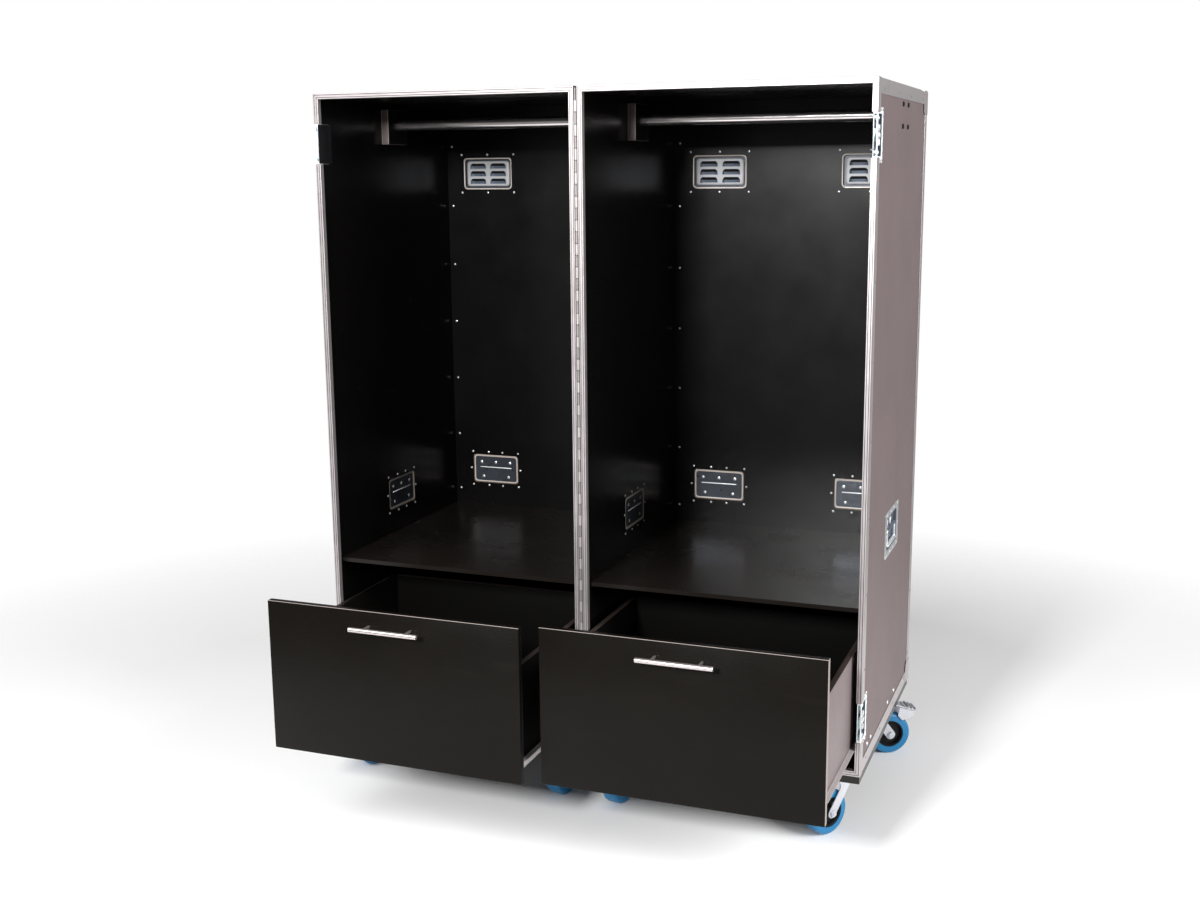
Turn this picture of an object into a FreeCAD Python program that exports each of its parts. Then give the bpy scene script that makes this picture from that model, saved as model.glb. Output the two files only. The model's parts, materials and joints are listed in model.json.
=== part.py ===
"""Wardrobe trunk: two tall plywood halves on castors, hinged like a book along their front edges.

Each half has a hanging compartment with a clothes rail over a shelf, and a drawer below. Lengths are
in millimetres. x = 0 is the hinge line, the halves open to -y, and z = 0 is the floor.
"""
import FreeCAD, Part

import itertools
import math
import os
import re

import Sketcher

SIZES = {
    # case half
    "half_width": (610, "width of one half"),
    "half_gap": (3, "hinge line to the half's side"),
    "case_depth": (628, "closing face to back"),
    "case_height": (1400, "height without castors"),
    "ply": (9, "panel thickness"),
    "edge_thick": (1.5, "aluminium edge thickness"),
    "edge_leg": (30, "edge angle leg"),
    "profile_leg": (27, "closing profile, outer flange"),
    "profile_lip": (12, "closing profile, inner flange"),
    "profile_web": (3, "closing profile, face thickness"),
    "profile_fit": (0.1, "panel to closing profile clearance"),
    "cap_leg": (52, "corner cap leg"),
    "cap_thick": (1.2, "corner cap thickness"),
    "board_thick": (16, "castor board thickness"),
    "board_inset": (1.5, "castor board edge inside the case edge"),
    # shelf and rail
    "shelf_height": (355, "shelf top above the case bottom"),
    "shelf_setback": (21, "shelf front behind the closing face"),
    "rail_drop": (60, "rail axis below the case top"),
    "rail_setback": (324, "rail axis behind the closing face"),
    "rail_radius": (12.5, "rail outside radius"),
    "rail_wall": (1.5, "rail tube wall"),
    "rail_fit": (0.1, "rail to block clearance"),
    "block_thick": (18, "rail block thickness"),
    "block_width": (90, "rail block width"),
    "block_below": (45, "rail block below the rail axis"),
    "block_above": (35, "rail block above the rail axis"),
    # recessed handles
    "handle_height": (452, "handle centre above the case bottom"),
    "handle_inset": (127, "back handle centre from the half's side"),
    "dish_width": (127, "handle dish width"),
    "dish_tall": (74, "handle dish height"),
    "dish_depth": (8.5, "depth of every dish in its panel"),
    "dish_round": (8, "dish corner radius"),
    "dish_sheet": (1.2, "dish sheet thickness"),
    "dish_gap": (1, "cut-out clearance round a dish"),
    "flange_width": (165, "handle flange width"),
    "flange_tall": (103, "handle flange height"),
    "bail_rod": (3, "bail rod radius"),
    "bail_span": (96, "bail arms, centre to centre"),
    "bail_reach": (34, "bail pivot to grip"),
    "bail_rise": (6, "bail pivot above the dish centre"),
    "bail_sink": (2.2, "bail centre line below the panel face"),
    "grip_radius": (4.7, "bail grip radius"),
    "grip_length": (78, "bail grip length"),
    "pivot_fit": (0.05, "running clearance in a pivot"),
    "strap_width": (86, "bail strap width"),
    "strap_wall": (1.6, "bail strap round its rod"),
    # vents
    "vent_drop": (175.5, "vent centre below the case top"),
    "vent_inset": (123.5, "vent centre from the half's side"),
    "vent_width": (119, "vent pan width"),
    "vent_tall": (64, "vent pan height"),
    "vent_depth": (6, "vent pan depth"),
    "vent_margin": (7.5, "cut-out margin round the vent pan"),
    "vent_flange": (13.5, "vent flange past its cut-out"),
    "louvre_width": (42, "louvre slot width"),
    "louvre_tall": (6, "louvre slot height"),
    "louvre_column": (56, "louvre column pitch"),
    "louvre_row": (19, "louvre row pitch"),
    # butterfly latches
    "latch_rise": (117, "lower latch centre above the case bottom"),
    "latch_drop": (107, "upper latch centre below the case top"),
    "latch_tall": (84, "latch pan height"),
    "latch_reach": (52, "latch pan from the closing face"),
    "latch_rim": (10, "latch flange above and below the pan"),
    "latch_back_rim": (6, "latch flange behind the pan"),
    "wing_setback": (26, "wing axis behind the closing face"),
    "wing_length": (40, "wing length"),
    "wing_width": (15, "wing width"),
    "wing_thick": (3, "wing thickness"),
    "wing_proud": (0.8, "wing proud of the panel face"),
    "wing_boss": (10, "wing boss radius"),
    "wing_axle": (3.5, "wing axle radius"),
    "hook_travel": (14, "hook stroke"),
    "hook_width": (24, "hook plate width"),
    "hook_thick": (2, "hook plate thickness"),
    "hook_start": (1, "hook end behind the closing face"),
    "hook_claw": (3, "hook claw length"),
    "hook_tail": (3, "hook plate past its slot"),
    "hook_fit": (0.2, "hook slot clearance"),
    "latch_gap": (0.8, "gap between wing and hook"),
    "keeper_start": (5, "keeper ridge behind the closing face"),
    "keeper_thick": (4, "keeper ridge thickness"),
    "keeper_rise": (2, "keeper ridge above its pan"),
    # piano hinge
    "knuckle_fit": (0.3, "knuckle to the case sides"),
    "pin_radius": (1.4, "hinge pin radius"),
    "leaf_thick": (1.5, "hinge leaf thickness"),
    "leaf_width": (25, "hinge leaf width"),
    "leaf_fit": (0.5, "leaf edge behind the other leaf's knuckles"),
    "knuckle_gap": (0.3, "gap between knuckles"),
    "knuckle_pairs": (14, "knuckles on each leaf"),
    "hinge_inset": (4, "hinge end from the case end"),
    # drawers
    "front_thick": (15, "drawer front thickness"),
    "front_gap": (2.5, "drawer front to profile lip, sides"),
    "front_low_gap": (1, "drawer front to profile lip, below"),
    "front_high_gap": (2, "drawer front to shelf"),
    "side_thick": (12, "drawer side thickness"),
    "side_low": (38, "drawer side bottom above the case bottom"),
    "side_drop": (87, "drawer side top below the front's top"),
    "box_gap": (42.5, "closed drawer to the back panel"),
    "box_floor": (9, "drawer floor thickness"),
    "floor_rise": (4, "drawer floor above the side's bottom"),
    "closed_setback": (40, "closed drawer behind the closing face"),
    "out_left": (294, "left drawer pulled out at rest"),
    "out_right": (274, "right drawer pulled out at rest"),
    "bar_radius": (6, "bar handle radius"),
    "bar_length": (156, "bar handle length"),
    "bar_posts": (96, "bar handle post pitch"),
    "post_radius": (4, "bar handle post radius"),
    "bar_stand": (29, "bar axis in front of the drawer"),
    "bar_drop": (33, "bar axis below the front's top"),
    # roller runners
    "runner_space": (12.5, "drawer side to case wall"),
    "runner_sheet": (1.2, "runner sheet thickness"),
    "channel_tall": (30, "case runner height"),
    "channel_gap": (50.5, "case runner to the back panel"),
    "member_gap": (18, "drawer runner's end to the drawer's back"),
    "member_tall": (20, "drawer runner flange height"),
    "roller_radius": (8.5, "roller radius"),
    "roller_width": (8, "roller width"),
    "roller_inset": (10, "roller centre from the runner's end"),
    "roller_fit": (0.3, "roller running gap"),
    "runner_fit": (1, "gap between the two runners' flanges"),
    "runner_lead": (2, "runner end behind the drawer front"),
    # castors
    "castor_height": (148, "castor height with its plate"),
    "castor_side": (66, "castor axis from the half's sides"),
    "castor_end": (100, "castor axis from front and back"),
    "castor_trail": (38, "wheel axle from the swivel axis"),
    "plate_length": (100, "castor plate length"),
    "plate_width": (85, "castor plate width"),
    "plate_thick": (3, "castor plate thickness"),
    "race_radius": (27, "swivel race radius"),
    "race_thick": (7, "swivel race height"),
    "swivel_gap": (0.3, "swivel running gap"),
    "crown_thick": (4, "fork crown thickness"),
    "crown_radius": (29, "fork crown radius"),
    "kingpin_radius": (6, "kingpin radius"),
    "kingpin_nut": (10, "kingpin nut radius"),
    "nut_thick": (6, "nut thickness"),
    "leg_thick": (3, "fork leg thickness"),
    "leg_top": (50, "fork leg width at the crown"),
    "leg_end": (12, "fork leg end radius"),
    "wheel_radius": (50, "wheel radius"),
    "wheel_width": (36, "wheel width"),
    "wheel_gap": (3, "wheel to fork leg"),
    "tyre_thick": (17, "tyre thickness"),
    "tyre_fit": (0.05, "tyre to hub clearance"),
    "tyre_round": (4, "tyre shoulder"),
    "axle_radius": (5, "wheel axle radius"),
    "axle_head": (8, "axle nut radius"),
    "pedal_width": (34, "brake pedal width"),
    "pedal_thick": (3, "brake pedal thickness"),
    "pedal_reach": (66, "brake pedal tip past the axle"),
    "pedal_drop": (52, "brake pedal tip above the axle"),
    # rest directions of the castors, in degrees from +x
    "turn_front": (-121, "outer front castors trail"),
    "turn_inner": (-100, "inner castors trail"),
    "turn_rear": (28, "right outer rear castor trails"),
}

doc = FreeCAD.newDocument("WardrobeTrunk")
sheet = doc.addObject("Spreadsheet::Sheet", "Sizes")
for row, (alias, (value, meaning)) in enumerate(SIZES.items(), 1):
    sheet.set(f"A{row}", meaning)
    sheet.set(f"B{row}", str(value))
    sheet.setAlias(f"B{row}", alias)
doc.recompute()

# Places worked out from the sizes, as formulas of the sheet's aliases.
BODY_Z = "(castor_height + board_thick)"
BODY_TOP = f"({BODY_Z} + case_height)"
FLOOR = f"({BODY_Z} + edge_thick + ply)"
CEILING = f"({BODY_TOP} - edge_thick - ply)"
BACK_WALL = "(case_depth - edge_thick - ply)"
HINGE_SIDE = "half_gap"
OUTER_SIDE = "(half_gap + half_width)"
HINGE_WALL = f"({HINGE_SIDE} + edge_thick + ply)"
OUTER_WALL = f"({OUTER_SIDE} - edge_thick - ply)"
MIDDLE = f"(({HINGE_SIDE} + {OUTER_SIDE}) / 2)"
PROFILE_FACE = "(ply + 2 * edge_thick)"
INNER_FLANGE = f"({PROFILE_FACE} - edge_thick + profile_fit)"
SHELF_TOP = f"({BODY_Z} + shelf_height)"
SHELF_UNDER = f"({SHELF_TOP} - ply)"
BAR_FRONT = "(bar_stand + bar_radius)"
ORIGIN_Y = f"((case_depth + cap_thick - max(out_left; out_right) - {BAR_FRONT}) / 2)"

# The right half's six outer planes, and the sign that leads inwards from each.
PLANES = {
    "hinge": (HINGE_SIDE, "+"),
    "outer": (OUTER_SIDE, "-"),
    "front": ("0", "+"),
    "rear": ("case_depth", "-"),
    "bottom": (BODY_Z, "+"),
    "top": (BODY_TOP, "-"),
}
AXES = {"x": FreeCAD.Vector(1, 0, 0), "y": FreeCAD.Vector(0, 1, 0), "z": FreeCAD.Vector(0, 0, 1)}
NODES = []


def formula(text):
    """The text with each alias pointed at the sheet."""
    return re.sub(r"[a-z_]+", lambda word: f"Sizes.{word[0]}" if word[0] in SIZES else word[0], text)


def tie(thing, **formulas):
    """Bind properties, such as Length or Placement_Base_x, to formulas."""
    for name, text in formulas.items():
        thing.setExpression(name.replace("_", "."), formula(text))
    return thing


def place(thing, x="0", y="0", z="0", turn="0"):
    """Tie where a piece stands and how far it is turned about z, in degrees."""
    tie(thing, Placement_Base_x=x, Placement_Base_y=y, Placement_Base_z=z, Placement_Rotation_Angle=turn)
    return thing


def inward(plane, reach, start="0"):
    """The range from `start` to `reach` inside one of the outer planes, low end first."""
    at, sign = PLANES[plane]
    ends = (f"{at} {sign} ({start})", f"{at} {sign} ({reach})")
    return ends if sign == "+" else ends[::-1]


def about(centre, size):
    """The range of a size centred on a place."""
    return f"({centre}) - ({size}) / 2", f"({centre}) + ({size}) / 2"


def block(name, x, y, z):
    """A box between a low and a high formula on each axis."""
    box = doc.addObject("Part::Box", name)
    tie(box, Length=f"({x[1]}) - ({x[0]})", Width=f"({y[1]}) - ({y[0]})", Height=f"({z[1]}) - ({z[0]})")
    return tie(box, Placement_Base_x=x[0], Placement_Base_y=y[0], Placement_Base_z=z[0])


def rod(name, axis, at, radius, span):
    """A cylinder along an axis; `at` holds its place on the other two axes, in x, y, z order."""
    cylinder = doc.addObject("Part::Cylinder", name)
    cylinder.Placement.Rotation = FreeCAD.Rotation(AXES["z"], AXES[axis])
    base = dict(zip([other for other in "xyz" if other != axis], at))
    base[axis] = span[0]
    tie(cylinder, Radius=radius, Height=f"({span[1]}) - ({span[0]})")
    return tie(cylinder, **{f"Placement_Base_{letter}": text for letter, text in base.items()})


def fuse(name, *pieces):
    whole = doc.addObject("Part::MultiFuse", name)
    whole.Shapes = list(pieces)
    whole.Refine = True
    return whole


def group(name, *pieces):
    whole = doc.addObject("Part::Compound", name)
    whole.Links = list(pieces)
    return whole


def cut(name, base, *tools):
    rest = doc.addObject("Part::Cut", name)
    rest.Base = base
    rest.Tool = tools[0] if len(tools) == 1 else group(f"{name}Tools", *tools)
    return rest


def shared(name, base, tool):
    part = doc.addObject("Part::Common", name)
    part.Base = base
    part.Tool = tool
    return part


def mirrored(piece, plane="0"):
    """A piece's mirror image in the plane x = `plane`."""
    image = doc.addObject("Part::Mirroring", f"{piece.Name}Mirrored")
    image.Source = piece
    image.Normal = AXES["x"]
    return tie(image, Base_x=plane)


def placed(piece, x, y, z, turn="0"):
    """A copy of a piece that is drawn round its own origin."""
    return place(group(f"{piece.Name}Placed", piece), x, y, z, turn)


def rounded(name, box, axis, radius):
    """A box with its edges along one axis rounded to the radius in a cell."""
    doc.recompute([box])
    size = float(sheet.get(radius))
    ends = [(edge.Vertexes[0].Point, edge.Vertexes[1].Point) for edge in box.Shape.Edges]
    along = [number for number, (a, b) in enumerate(ends, 1) if abs((b - a).normalize() * AXES[axis]) > 0.5]
    fillet = doc.addObject("Part::Fillet", name)
    fillet.Base = box
    fillet.Edges = [(number, size, size) for number in along]
    return fillet


def outline(body, role, points):
    """A closed sketch on one of the body's own planes, each corner tied to a pair of formulas."""
    sketch = body.newObject("Sketcher::SketchObject", f"{body.Name}Sketch")
    plane = next(feature for feature in body.Origin.OriginFeatures if feature.Role == role)
    sketch.AttachmentSupport = [(plane, "")]
    sketch.MapMode = "FlatFace"
    count = len(points)
    turns = [2 * math.pi * corner / count for corner in range(count)]
    rough = [FreeCAD.Vector(math.cos(turn), math.sin(turn), 0) for turn in turns]
    for corner in range(count):
        sketch.addGeometry(Part.LineSegment(rough[corner], rough[(corner + 1) % count]))
    for corner in range(count):
        sketch.addConstraint(Sketcher.Constraint("Coincident", corner, 2, (corner + 1) % count, 1))
    for corner, place_of in enumerate(points):
        for kind, text, now in zip(("DistanceX", "DistanceY"), place_of, rough[corner]):
            number = sketch.addConstraint(Sketcher.Constraint(kind, -1, 1, corner, 1, now))
            sketch.setExpression(f"Constraints[{number}]", formula(text))
    return sketch


def pad(name, points, thickness):
    """A body padded both ways from the xz plane; points are x, z pairs."""
    body = doc.addObject("PartDesign::Body", name)
    feature = body.newObject("PartDesign::Pad", f"{name}Pad")
    feature.Profile = outline(body, "XZ_Plane", points)
    feature.SideType = "Symmetric"
    tie(feature, Length=thickness)
    body.Tip = feature
    return body


def turned(name, points):
    """A body turned about its own z axis; points are radius, height pairs."""
    body = doc.addObject("PartDesign::Body", name)
    feature = body.newObject("PartDesign::Revolution", f"{name}Revolution")
    feature.Profile = outline(body, "XZ_Plane", points)
    feature.ReferenceAxis = (feature.Profile[0], ["V_Axis"])
    feature.Angle = 360
    body.Tip = feature
    return body


def node(name, pieces, x="0", y="0", turn="0"):
    """One named sub-part, moved so that the trunk's middle lies over the origin."""
    whole = place(group(name, *pieces), x, f"({y}) - {ORIGIN_Y}", "0", turn)
    whole.Label = name
    NODES.append(whole)


def halves(name, *pieces):
    """The same sub-part for the right half and, mirrored, for the left."""
    node(f"{name}_right", pieces)
    node(f"{name}_left", [mirrored(piece) for piece in pieces])


# Recessed fittings are drawn with the panel's outer face at y = 0, facing +y.
RIGHT_FACE = f"({OUTER_SIDE} - edge_thick)"
HINGE_FACE = f"({HINGE_SIDE} + edge_thick)"
REAR_FACE = "(case_depth - edge_thick)"
HANDLE_Z = f"({BODY_Z} + handle_height)"
VENT_Z = f"({BODY_TOP} - vent_drop)"
PAN_FLOOR = "(dish_sheet - dish_depth)"
THROUGH = "(dish_depth + ply)"


def handle_places():
    """Where each handle of the right half stands: name, x, y and turn."""
    return [
        ("outer", RIGHT_FACE, "case_depth / 2", "-90"),
        ("hinge", HINGE_FACE, "case_depth / 2", "90"),
        ("back_outer", f"{OUTER_SIDE} - handle_inset", REAR_FACE, "0"),
        ("back_inner", f"{HINGE_SIDE} + handle_inset", REAR_FACE, "0"),
    ]


def vent_places():
    return [(f"{OUTER_SIDE} - vent_inset", REAR_FACE), (f"{HINGE_SIDE} + vent_inset", REAR_FACE)]


def latch_heights():
    return {"lower": f"({BODY_Z} + latch_rise)", "upper": f"({BODY_TOP} - latch_drop)"}


def plate(name, width, tall, low, high, radius):
    """A rounded plate round the y axis."""
    box = block(f"{name}Box", about("0", width), (low, high), about("0", tall))
    return rounded(name, box, "y", radius)


def handle_dish():
    flange = plate("HandleFlange", "flange_width", "flange_tall", "0", "dish_sheet", "dish_round")
    pan = plate("HandlePan", "dish_width", "dish_tall", "-dish_depth", "dish_sheet", "dish_round")
    inside = plate("HandleInside", "dish_width - 2 * dish_sheet", "dish_tall - 2 * dish_sheet",
                   PAN_FLOOR, THROUGH, "dish_round")
    shell = cut("HandleShell", fuse("HandlePressing", flange, pan), inside)
    round_rod = "2 * (bail_rod + strap_wall)"
    strap = block("StrapBox", about("0", "strap_width"), (PAN_FLOOR, "bail_rod + strap_wall - bail_sink"),
                  about("bail_rise", round_rod))
    pivot = ("-bail_sink", "bail_rise")
    bore = rod("StrapBore", "x", pivot, "bail_rod + pivot_fit", about("0", "dish_width"))
    return fuse("HandleDish", shell, cut("Strap", strap, bore))


def bail():
    """A closed loop of rod with a thicker grip, hanging in its dish."""
    low, high = "(bail_rise - bail_reach)", "bail_rise"
    loop = [rod(f"BailBar{level}", "x", ("-bail_sink", level), "bail_rod", about("0", "bail_span"))
            for level in (low, high)]
    for side in ("-bail_span / 2", "bail_span / 2"):
        loop.append(rod("BailArm", "z", (side, "-bail_sink"), "bail_rod", (low, high)))
        for level in (low, high):
            corner = doc.addObject("Part::Sphere", "BailCorner")
            tie(corner, Radius="bail_rod")
            loop.append(place(corner, side, "-bail_sink", level))
    grip = rod("BailGrip", "x", ("-bail_sink", low), "grip_radius", about("0", "grip_length"))
    return fuse("Bail", *loop, grip)


def vent():
    """A louvred pan with a wide flange over its cut-out."""
    rim = "2 * (vent_margin + vent_flange)"
    flange = plate("VentFlange", f"vent_width + {rim}", f"vent_tall + {rim}", "0", "dish_sheet", "dish_round")
    pan = plate("VentPan", "vent_width", "vent_tall", "-vent_depth", "dish_sheet", "dish_round")
    inside = plate("VentInside", "vent_width - 2 * dish_sheet", "vent_tall - 2 * dish_sheet",
                   "dish_sheet - vent_depth", THROUGH, "dish_round")
    slots = [block("Louvre", about(f"{column} * louvre_column / 2", "louvre_width"),
                   ("-2 * vent_depth", "vent_depth"), about(f"{line} * louvre_row", "louvre_tall"))
             for column in (-1, 1) for line in (-1, 0, 1)]
    return cut("Vent", fuse("VentPressing", flange, pan), inside, *slots)


def latch_shell(name):
    """The pressed half of a butterfly latch, open towards the closing face at x = 0."""
    behind_profile = "-(profile_leg + dish_gap)"
    pan = block(f"{name}Pan", ("-latch_reach", "0"), ("-dish_depth", "dish_sheet"), about("0", "latch_tall"))
    rim = block(f"{name}Rim", ("-(latch_reach + latch_back_rim)", behind_profile), ("0", "dish_sheet"),
                about("0", "latch_tall + 2 * latch_rim"))
    inside = block(f"{name}Inside", ("dish_sheet - latch_reach", "latch_reach"), (PAN_FLOOR, THROUGH),
                   about("0", "latch_tall - 2 * dish_sheet"))
    return cut(f"{name}Shell", fuse(f"{name}Pressing", pan, rim), inside)


def latch_dish():
    bore = rod("WingBore", "y", ("-wing_setback", "0"), "wing_axle + pivot_fit", ("-2 * dish_depth", "0"))
    return cut("LatchDish", latch_shell("Latch"), bore)


def keeper_dish():
    ridge = block("KeeperRidge", ("-(keeper_start + keeper_thick)", "-keeper_start"),
                  (PAN_FLOOR, f"{PAN_FLOOR} + keeper_rise"), about("0", "hook_width"))
    return fuse("KeeperDish", latch_shell("Keeper"), ridge)


def wing():
    """The latch's turning wing on its axle."""
    depth = ("wing_proud - wing_thick", "wing_proud")
    bar = block("WingBar", about("-wing_setback", "wing_width"), depth, about("0", "wing_length"))
    boss = rod("WingBoss", "y", ("-wing_setback", "0"), "wing_boss", depth)
    axle = rod("WingAxle", "y", ("-wing_setback", "0"), "wing_axle", ("swivel_gap - dish_depth", depth[1]))
    return fuse("Wing", bar, boss, axle)


def hook():
    """The latch's sliding plate, slotted round the wing's axle."""
    top = "(wing_proud - wing_thick - latch_gap)"
    slot_half = "(wing_axle + hook_fit)"
    tail = f"-(wing_setback + hook_travel + {slot_half} + hook_tail)"
    sheet_depth = (f"{top} - hook_thick", top)
    flat = block("HookFlat", (tail, "-hook_start"), sheet_depth, about("0", "hook_width"))
    claw = block("HookClaw", ("-(hook_start + hook_claw)", "-hook_start"), (f"{PAN_FLOOR} + swivel_gap", top),
                 about("0", "hook_width"))
    through = ("-2 * dish_depth", "dish_depth")
    ends = [rod("SlotEnd", "y", (place_of, "0"), slot_half, through)
            for place_of in ("-wing_setback", "-(wing_setback + hook_travel)")]
    middle = block("SlotMiddle", ("-(wing_setback + hook_travel)", "-wing_setback"), through,
                   about("0", f"2 * {slot_half}"))
    return cut("Hook", fuse("HookPlate", flat, claw), *ends, middle)


def cut_outs(wall):
    """The windows that the recessed fittings need in one of the right half's walls."""
    window = plate("HandleWindow", "dish_width + 2 * dish_gap", "dish_tall + 2 * dish_gap",
                   f"-{THROUGH}", "ply", "dish_round")
    windows = [placed(window, x, y, HANDLE_Z, turn) for name, x, y, turn in handle_places()
               if name.split("_")[0] == wall]
    if wall == "back":
        opening = plate("VentWindow", "vent_width + 2 * vent_margin", "vent_tall + 2 * vent_margin",
                        f"-{THROUGH}", "ply", "dish_round")
        windows += [placed(opening, x, y, VENT_Z) for x, y in vent_places()]
    if wall == "outer":
        opening = block("LatchWindow", ("-(latch_reach + dish_gap)", "latch_reach"), (f"-{THROUGH}", "ply"),
                        about("0", "latch_tall + 2 * dish_gap"))
        windows += [placed(opening, RIGHT_FACE, "0", level, "-90") for level in latch_heights().values()]
    return windows


def panels():
    """The plywood box of each half, with its shelf and castor board."""
    across = (HINGE_FACE, RIGHT_FACE)
    depth = ("profile_web + profile_fit", BACK_WALL)
    tall = (FLOOR, CEILING)
    outer = block("OuterSide", inward("outer", "edge_thick + ply", "edge_thick"), depth, tall)
    hinge = block("HingeSide", inward("hinge", "edge_thick + ply", "edge_thick"), depth, tall)
    full = (f"{BODY_Z} + edge_thick", f"{BODY_TOP} - edge_thick")
    back = block("Back", across, (BACK_WALL, REAR_FACE), full)
    halves("outer_side", cut("OuterPanel", outer, *cut_outs("outer")))
    halves("hinge_side", cut("HingePanel", hinge, *cut_outs("hinge")))
    halves("back_panel", cut("BackPanel", back, *cut_outs("back")))
    halves("top_panel", block("Top", across, depth, (CEILING, full[1])))
    bottom = block("Bottom", across, depth, (full[0], FLOOR))
    board = block("CastorBoard", (f"{HINGE_SIDE} + board_inset", f"{OUTER_SIDE} - board_inset"),
                  ("board_inset", "case_depth - board_inset"), ("castor_height", BODY_Z))
    halves("base", bottom, board)
    halves("shelf", block("Shelf", (HINGE_WALL, OUTER_WALL), ("shelf_setback", BACK_WALL),
                          (SHELF_UNDER, SHELF_TOP)))


def edge_angle(name, first, second, x=None, y=None, z=None):
    """An L of two flanges, one on each of two outer planes; the free axis gets its range."""
    axis_of = {"hinge": "x", "outer": "x", "front": "y", "rear": "y", "bottom": "z", "top": "z"}
    free = {axis: span for axis, span in (("x", x), ("y", y), ("z", z)) if span}
    wide = dict(free)
    wide[axis_of[first]] = inward(first, "edge_thick")
    wide[axis_of[second]] = inward(second, "edge_leg")
    narrow = dict(free)
    narrow[axis_of[first]] = inward(first, "edge_leg", "edge_thick")
    narrow[axis_of[second]] = inward(second, "edge_thick")
    return fuse(name, block(f"{name}Wide", **wide), block(f"{name}Narrow", **narrow))


def corner_cap(name, side, level):
    """A cap over a rear corner, outside the edge angles; the bottom ones are open over the castor board."""
    planes = (side, "rear", level)
    outside = [inward(plane_of, "cap_leg", "-cap_thick") for plane_of in planes]
    inside = [inward(plane_of, "2 * cap_leg", "-2 * cap_thick" if plane_of == "bottom" else "0")
              for plane_of in planes]
    return cut(name, block(f"{name}Outside", *outside), block(f"{name}Inside", *inside))


def frame_ring(name, depth, outside, inside):
    """A rectangular ring in the closing face, between two insets from the case's outline."""
    def rectangle(label, inset, reach):
        across = (f"{HINGE_SIDE} + ({inset})", f"{OUTER_SIDE} - ({inset})")
        return block(label, across, reach, (f"{BODY_Z} + ({inset})", f"{BODY_TOP} - ({inset})"))
    hole = rectangle(f"{name}Hole", inside, (f"-({depth})", f"2 * ({depth})"))
    return cut(name, rectangle(f"{name}Whole", outside, ("0", depth)), hole)


def closing_profile():
    """Four mitred lengths round the closing face, the outer one parted at the latches."""
    ring = fuse("ProfileRing",
                frame_ring("OuterFlange", "profile_leg", "0", "edge_thick - profile_fit"),
                frame_ring("ProfileFace", "profile_web", "0", PROFILE_FACE),
                frame_ring("InnerFlange", "profile_lip", INNER_FLANGE, PROFILE_FACE))
    left, right, low, high = HINGE_SIDE, OUTER_SIDE, BODY_Z, BODY_TOP
    left_in, right_in = f"{left} + {PROFILE_FACE}", f"{right} - {PROFILE_FACE}"
    low_in, high_in = f"{low} + {PROFILE_FACE}", f"{high} - {PROFILE_FACE}"
    mitres = {
        "Top": [(left, high), (left_in, high_in), (right_in, high_in), (right, high)],
        "Bottom": [(left, low), (right, low), (right_in, low_in), (left_in, low_in)],
        "Hinge": [(left, low), (left_in, low_in), (left_in, high_in), (left, high)],
        "Outer": [(right, low), (right, high), (right_in, high_in), (right_in, low_in)],
    }
    lengths = [shared(f"Profile{name}", ring, pad(f"Mitre{name}", corners, "4 * profile_leg"))
               for name, corners in mitres.items()]
    gaps = [block("LatchGap", (MIDDLE, f"2 * {OUTER_SIDE}"), ("-profile_leg", "2 * profile_leg"),
                  about(level, "latch_tall + 2 * dish_gap")) for level in latch_heights().values()]
    return lengths[:-1] + [cut("ProfileOuterParted", lengths[-1], *gaps)]


def edging():
    """Closing profile, edge angles and rear corner caps of each half."""
    depth = ("profile_leg", "case_depth - edge_leg")
    tall = (f"{BODY_Z} + edge_leg", f"{BODY_TOP} - edge_leg")
    pieces = []
    for side in ("hinge", "outer"):
        pieces.append(edge_angle(f"RearAngle{side}", side, "rear", z=tall))
        for level in ("bottom", "top"):
            pieces.append(edge_angle(f"SideAngle{side}{level}", side, level, y=depth))
            pieces.append(corner_cap(f"Cap{side}{level}", side, level))
    for level in ("bottom", "top"):
        pieces.append(edge_angle(f"BackAngle{level}", "rear", level, x=(HINGE_SIDE, OUTER_SIDE)))
    halves("closing_frame", *closing_profile())
    halves("edge_angles", *pieces)


def clothes_rail():
    """A tube between two blocks on the side walls."""
    height = f"({BODY_TOP} - rail_drop)"
    axis = ("rail_setback", height)
    tube = cut("RailTube",
               rod("RailOutside", "x", axis, "rail_radius", (HINGE_WALL, OUTER_WALL)),
               rod("RailInside", "x", axis, "rail_radius - rail_wall", ("0", f"2 * {OUTER_WALL}")))
    bore = rod("RailBore", "x", axis, "rail_radius + rail_fit", ("0", f"2 * {OUTER_WALL}"))
    tall = (f"{height} - block_below", f"{height} + block_above")
    wide = about("rail_setback", "block_width")
    spans = {"Outer": (f"{OUTER_WALL} - block_thick", OUTER_WALL),
             "Hinge": (HINGE_WALL, f"{HINGE_WALL} + block_thick")}
    blocks = [cut(f"RailBlock{name}", block(f"RailSolid{name}", span, wide, tall), bore)
              for name, span in spans.items()]
    halves("clothes_rail", tube, *blocks)


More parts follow.
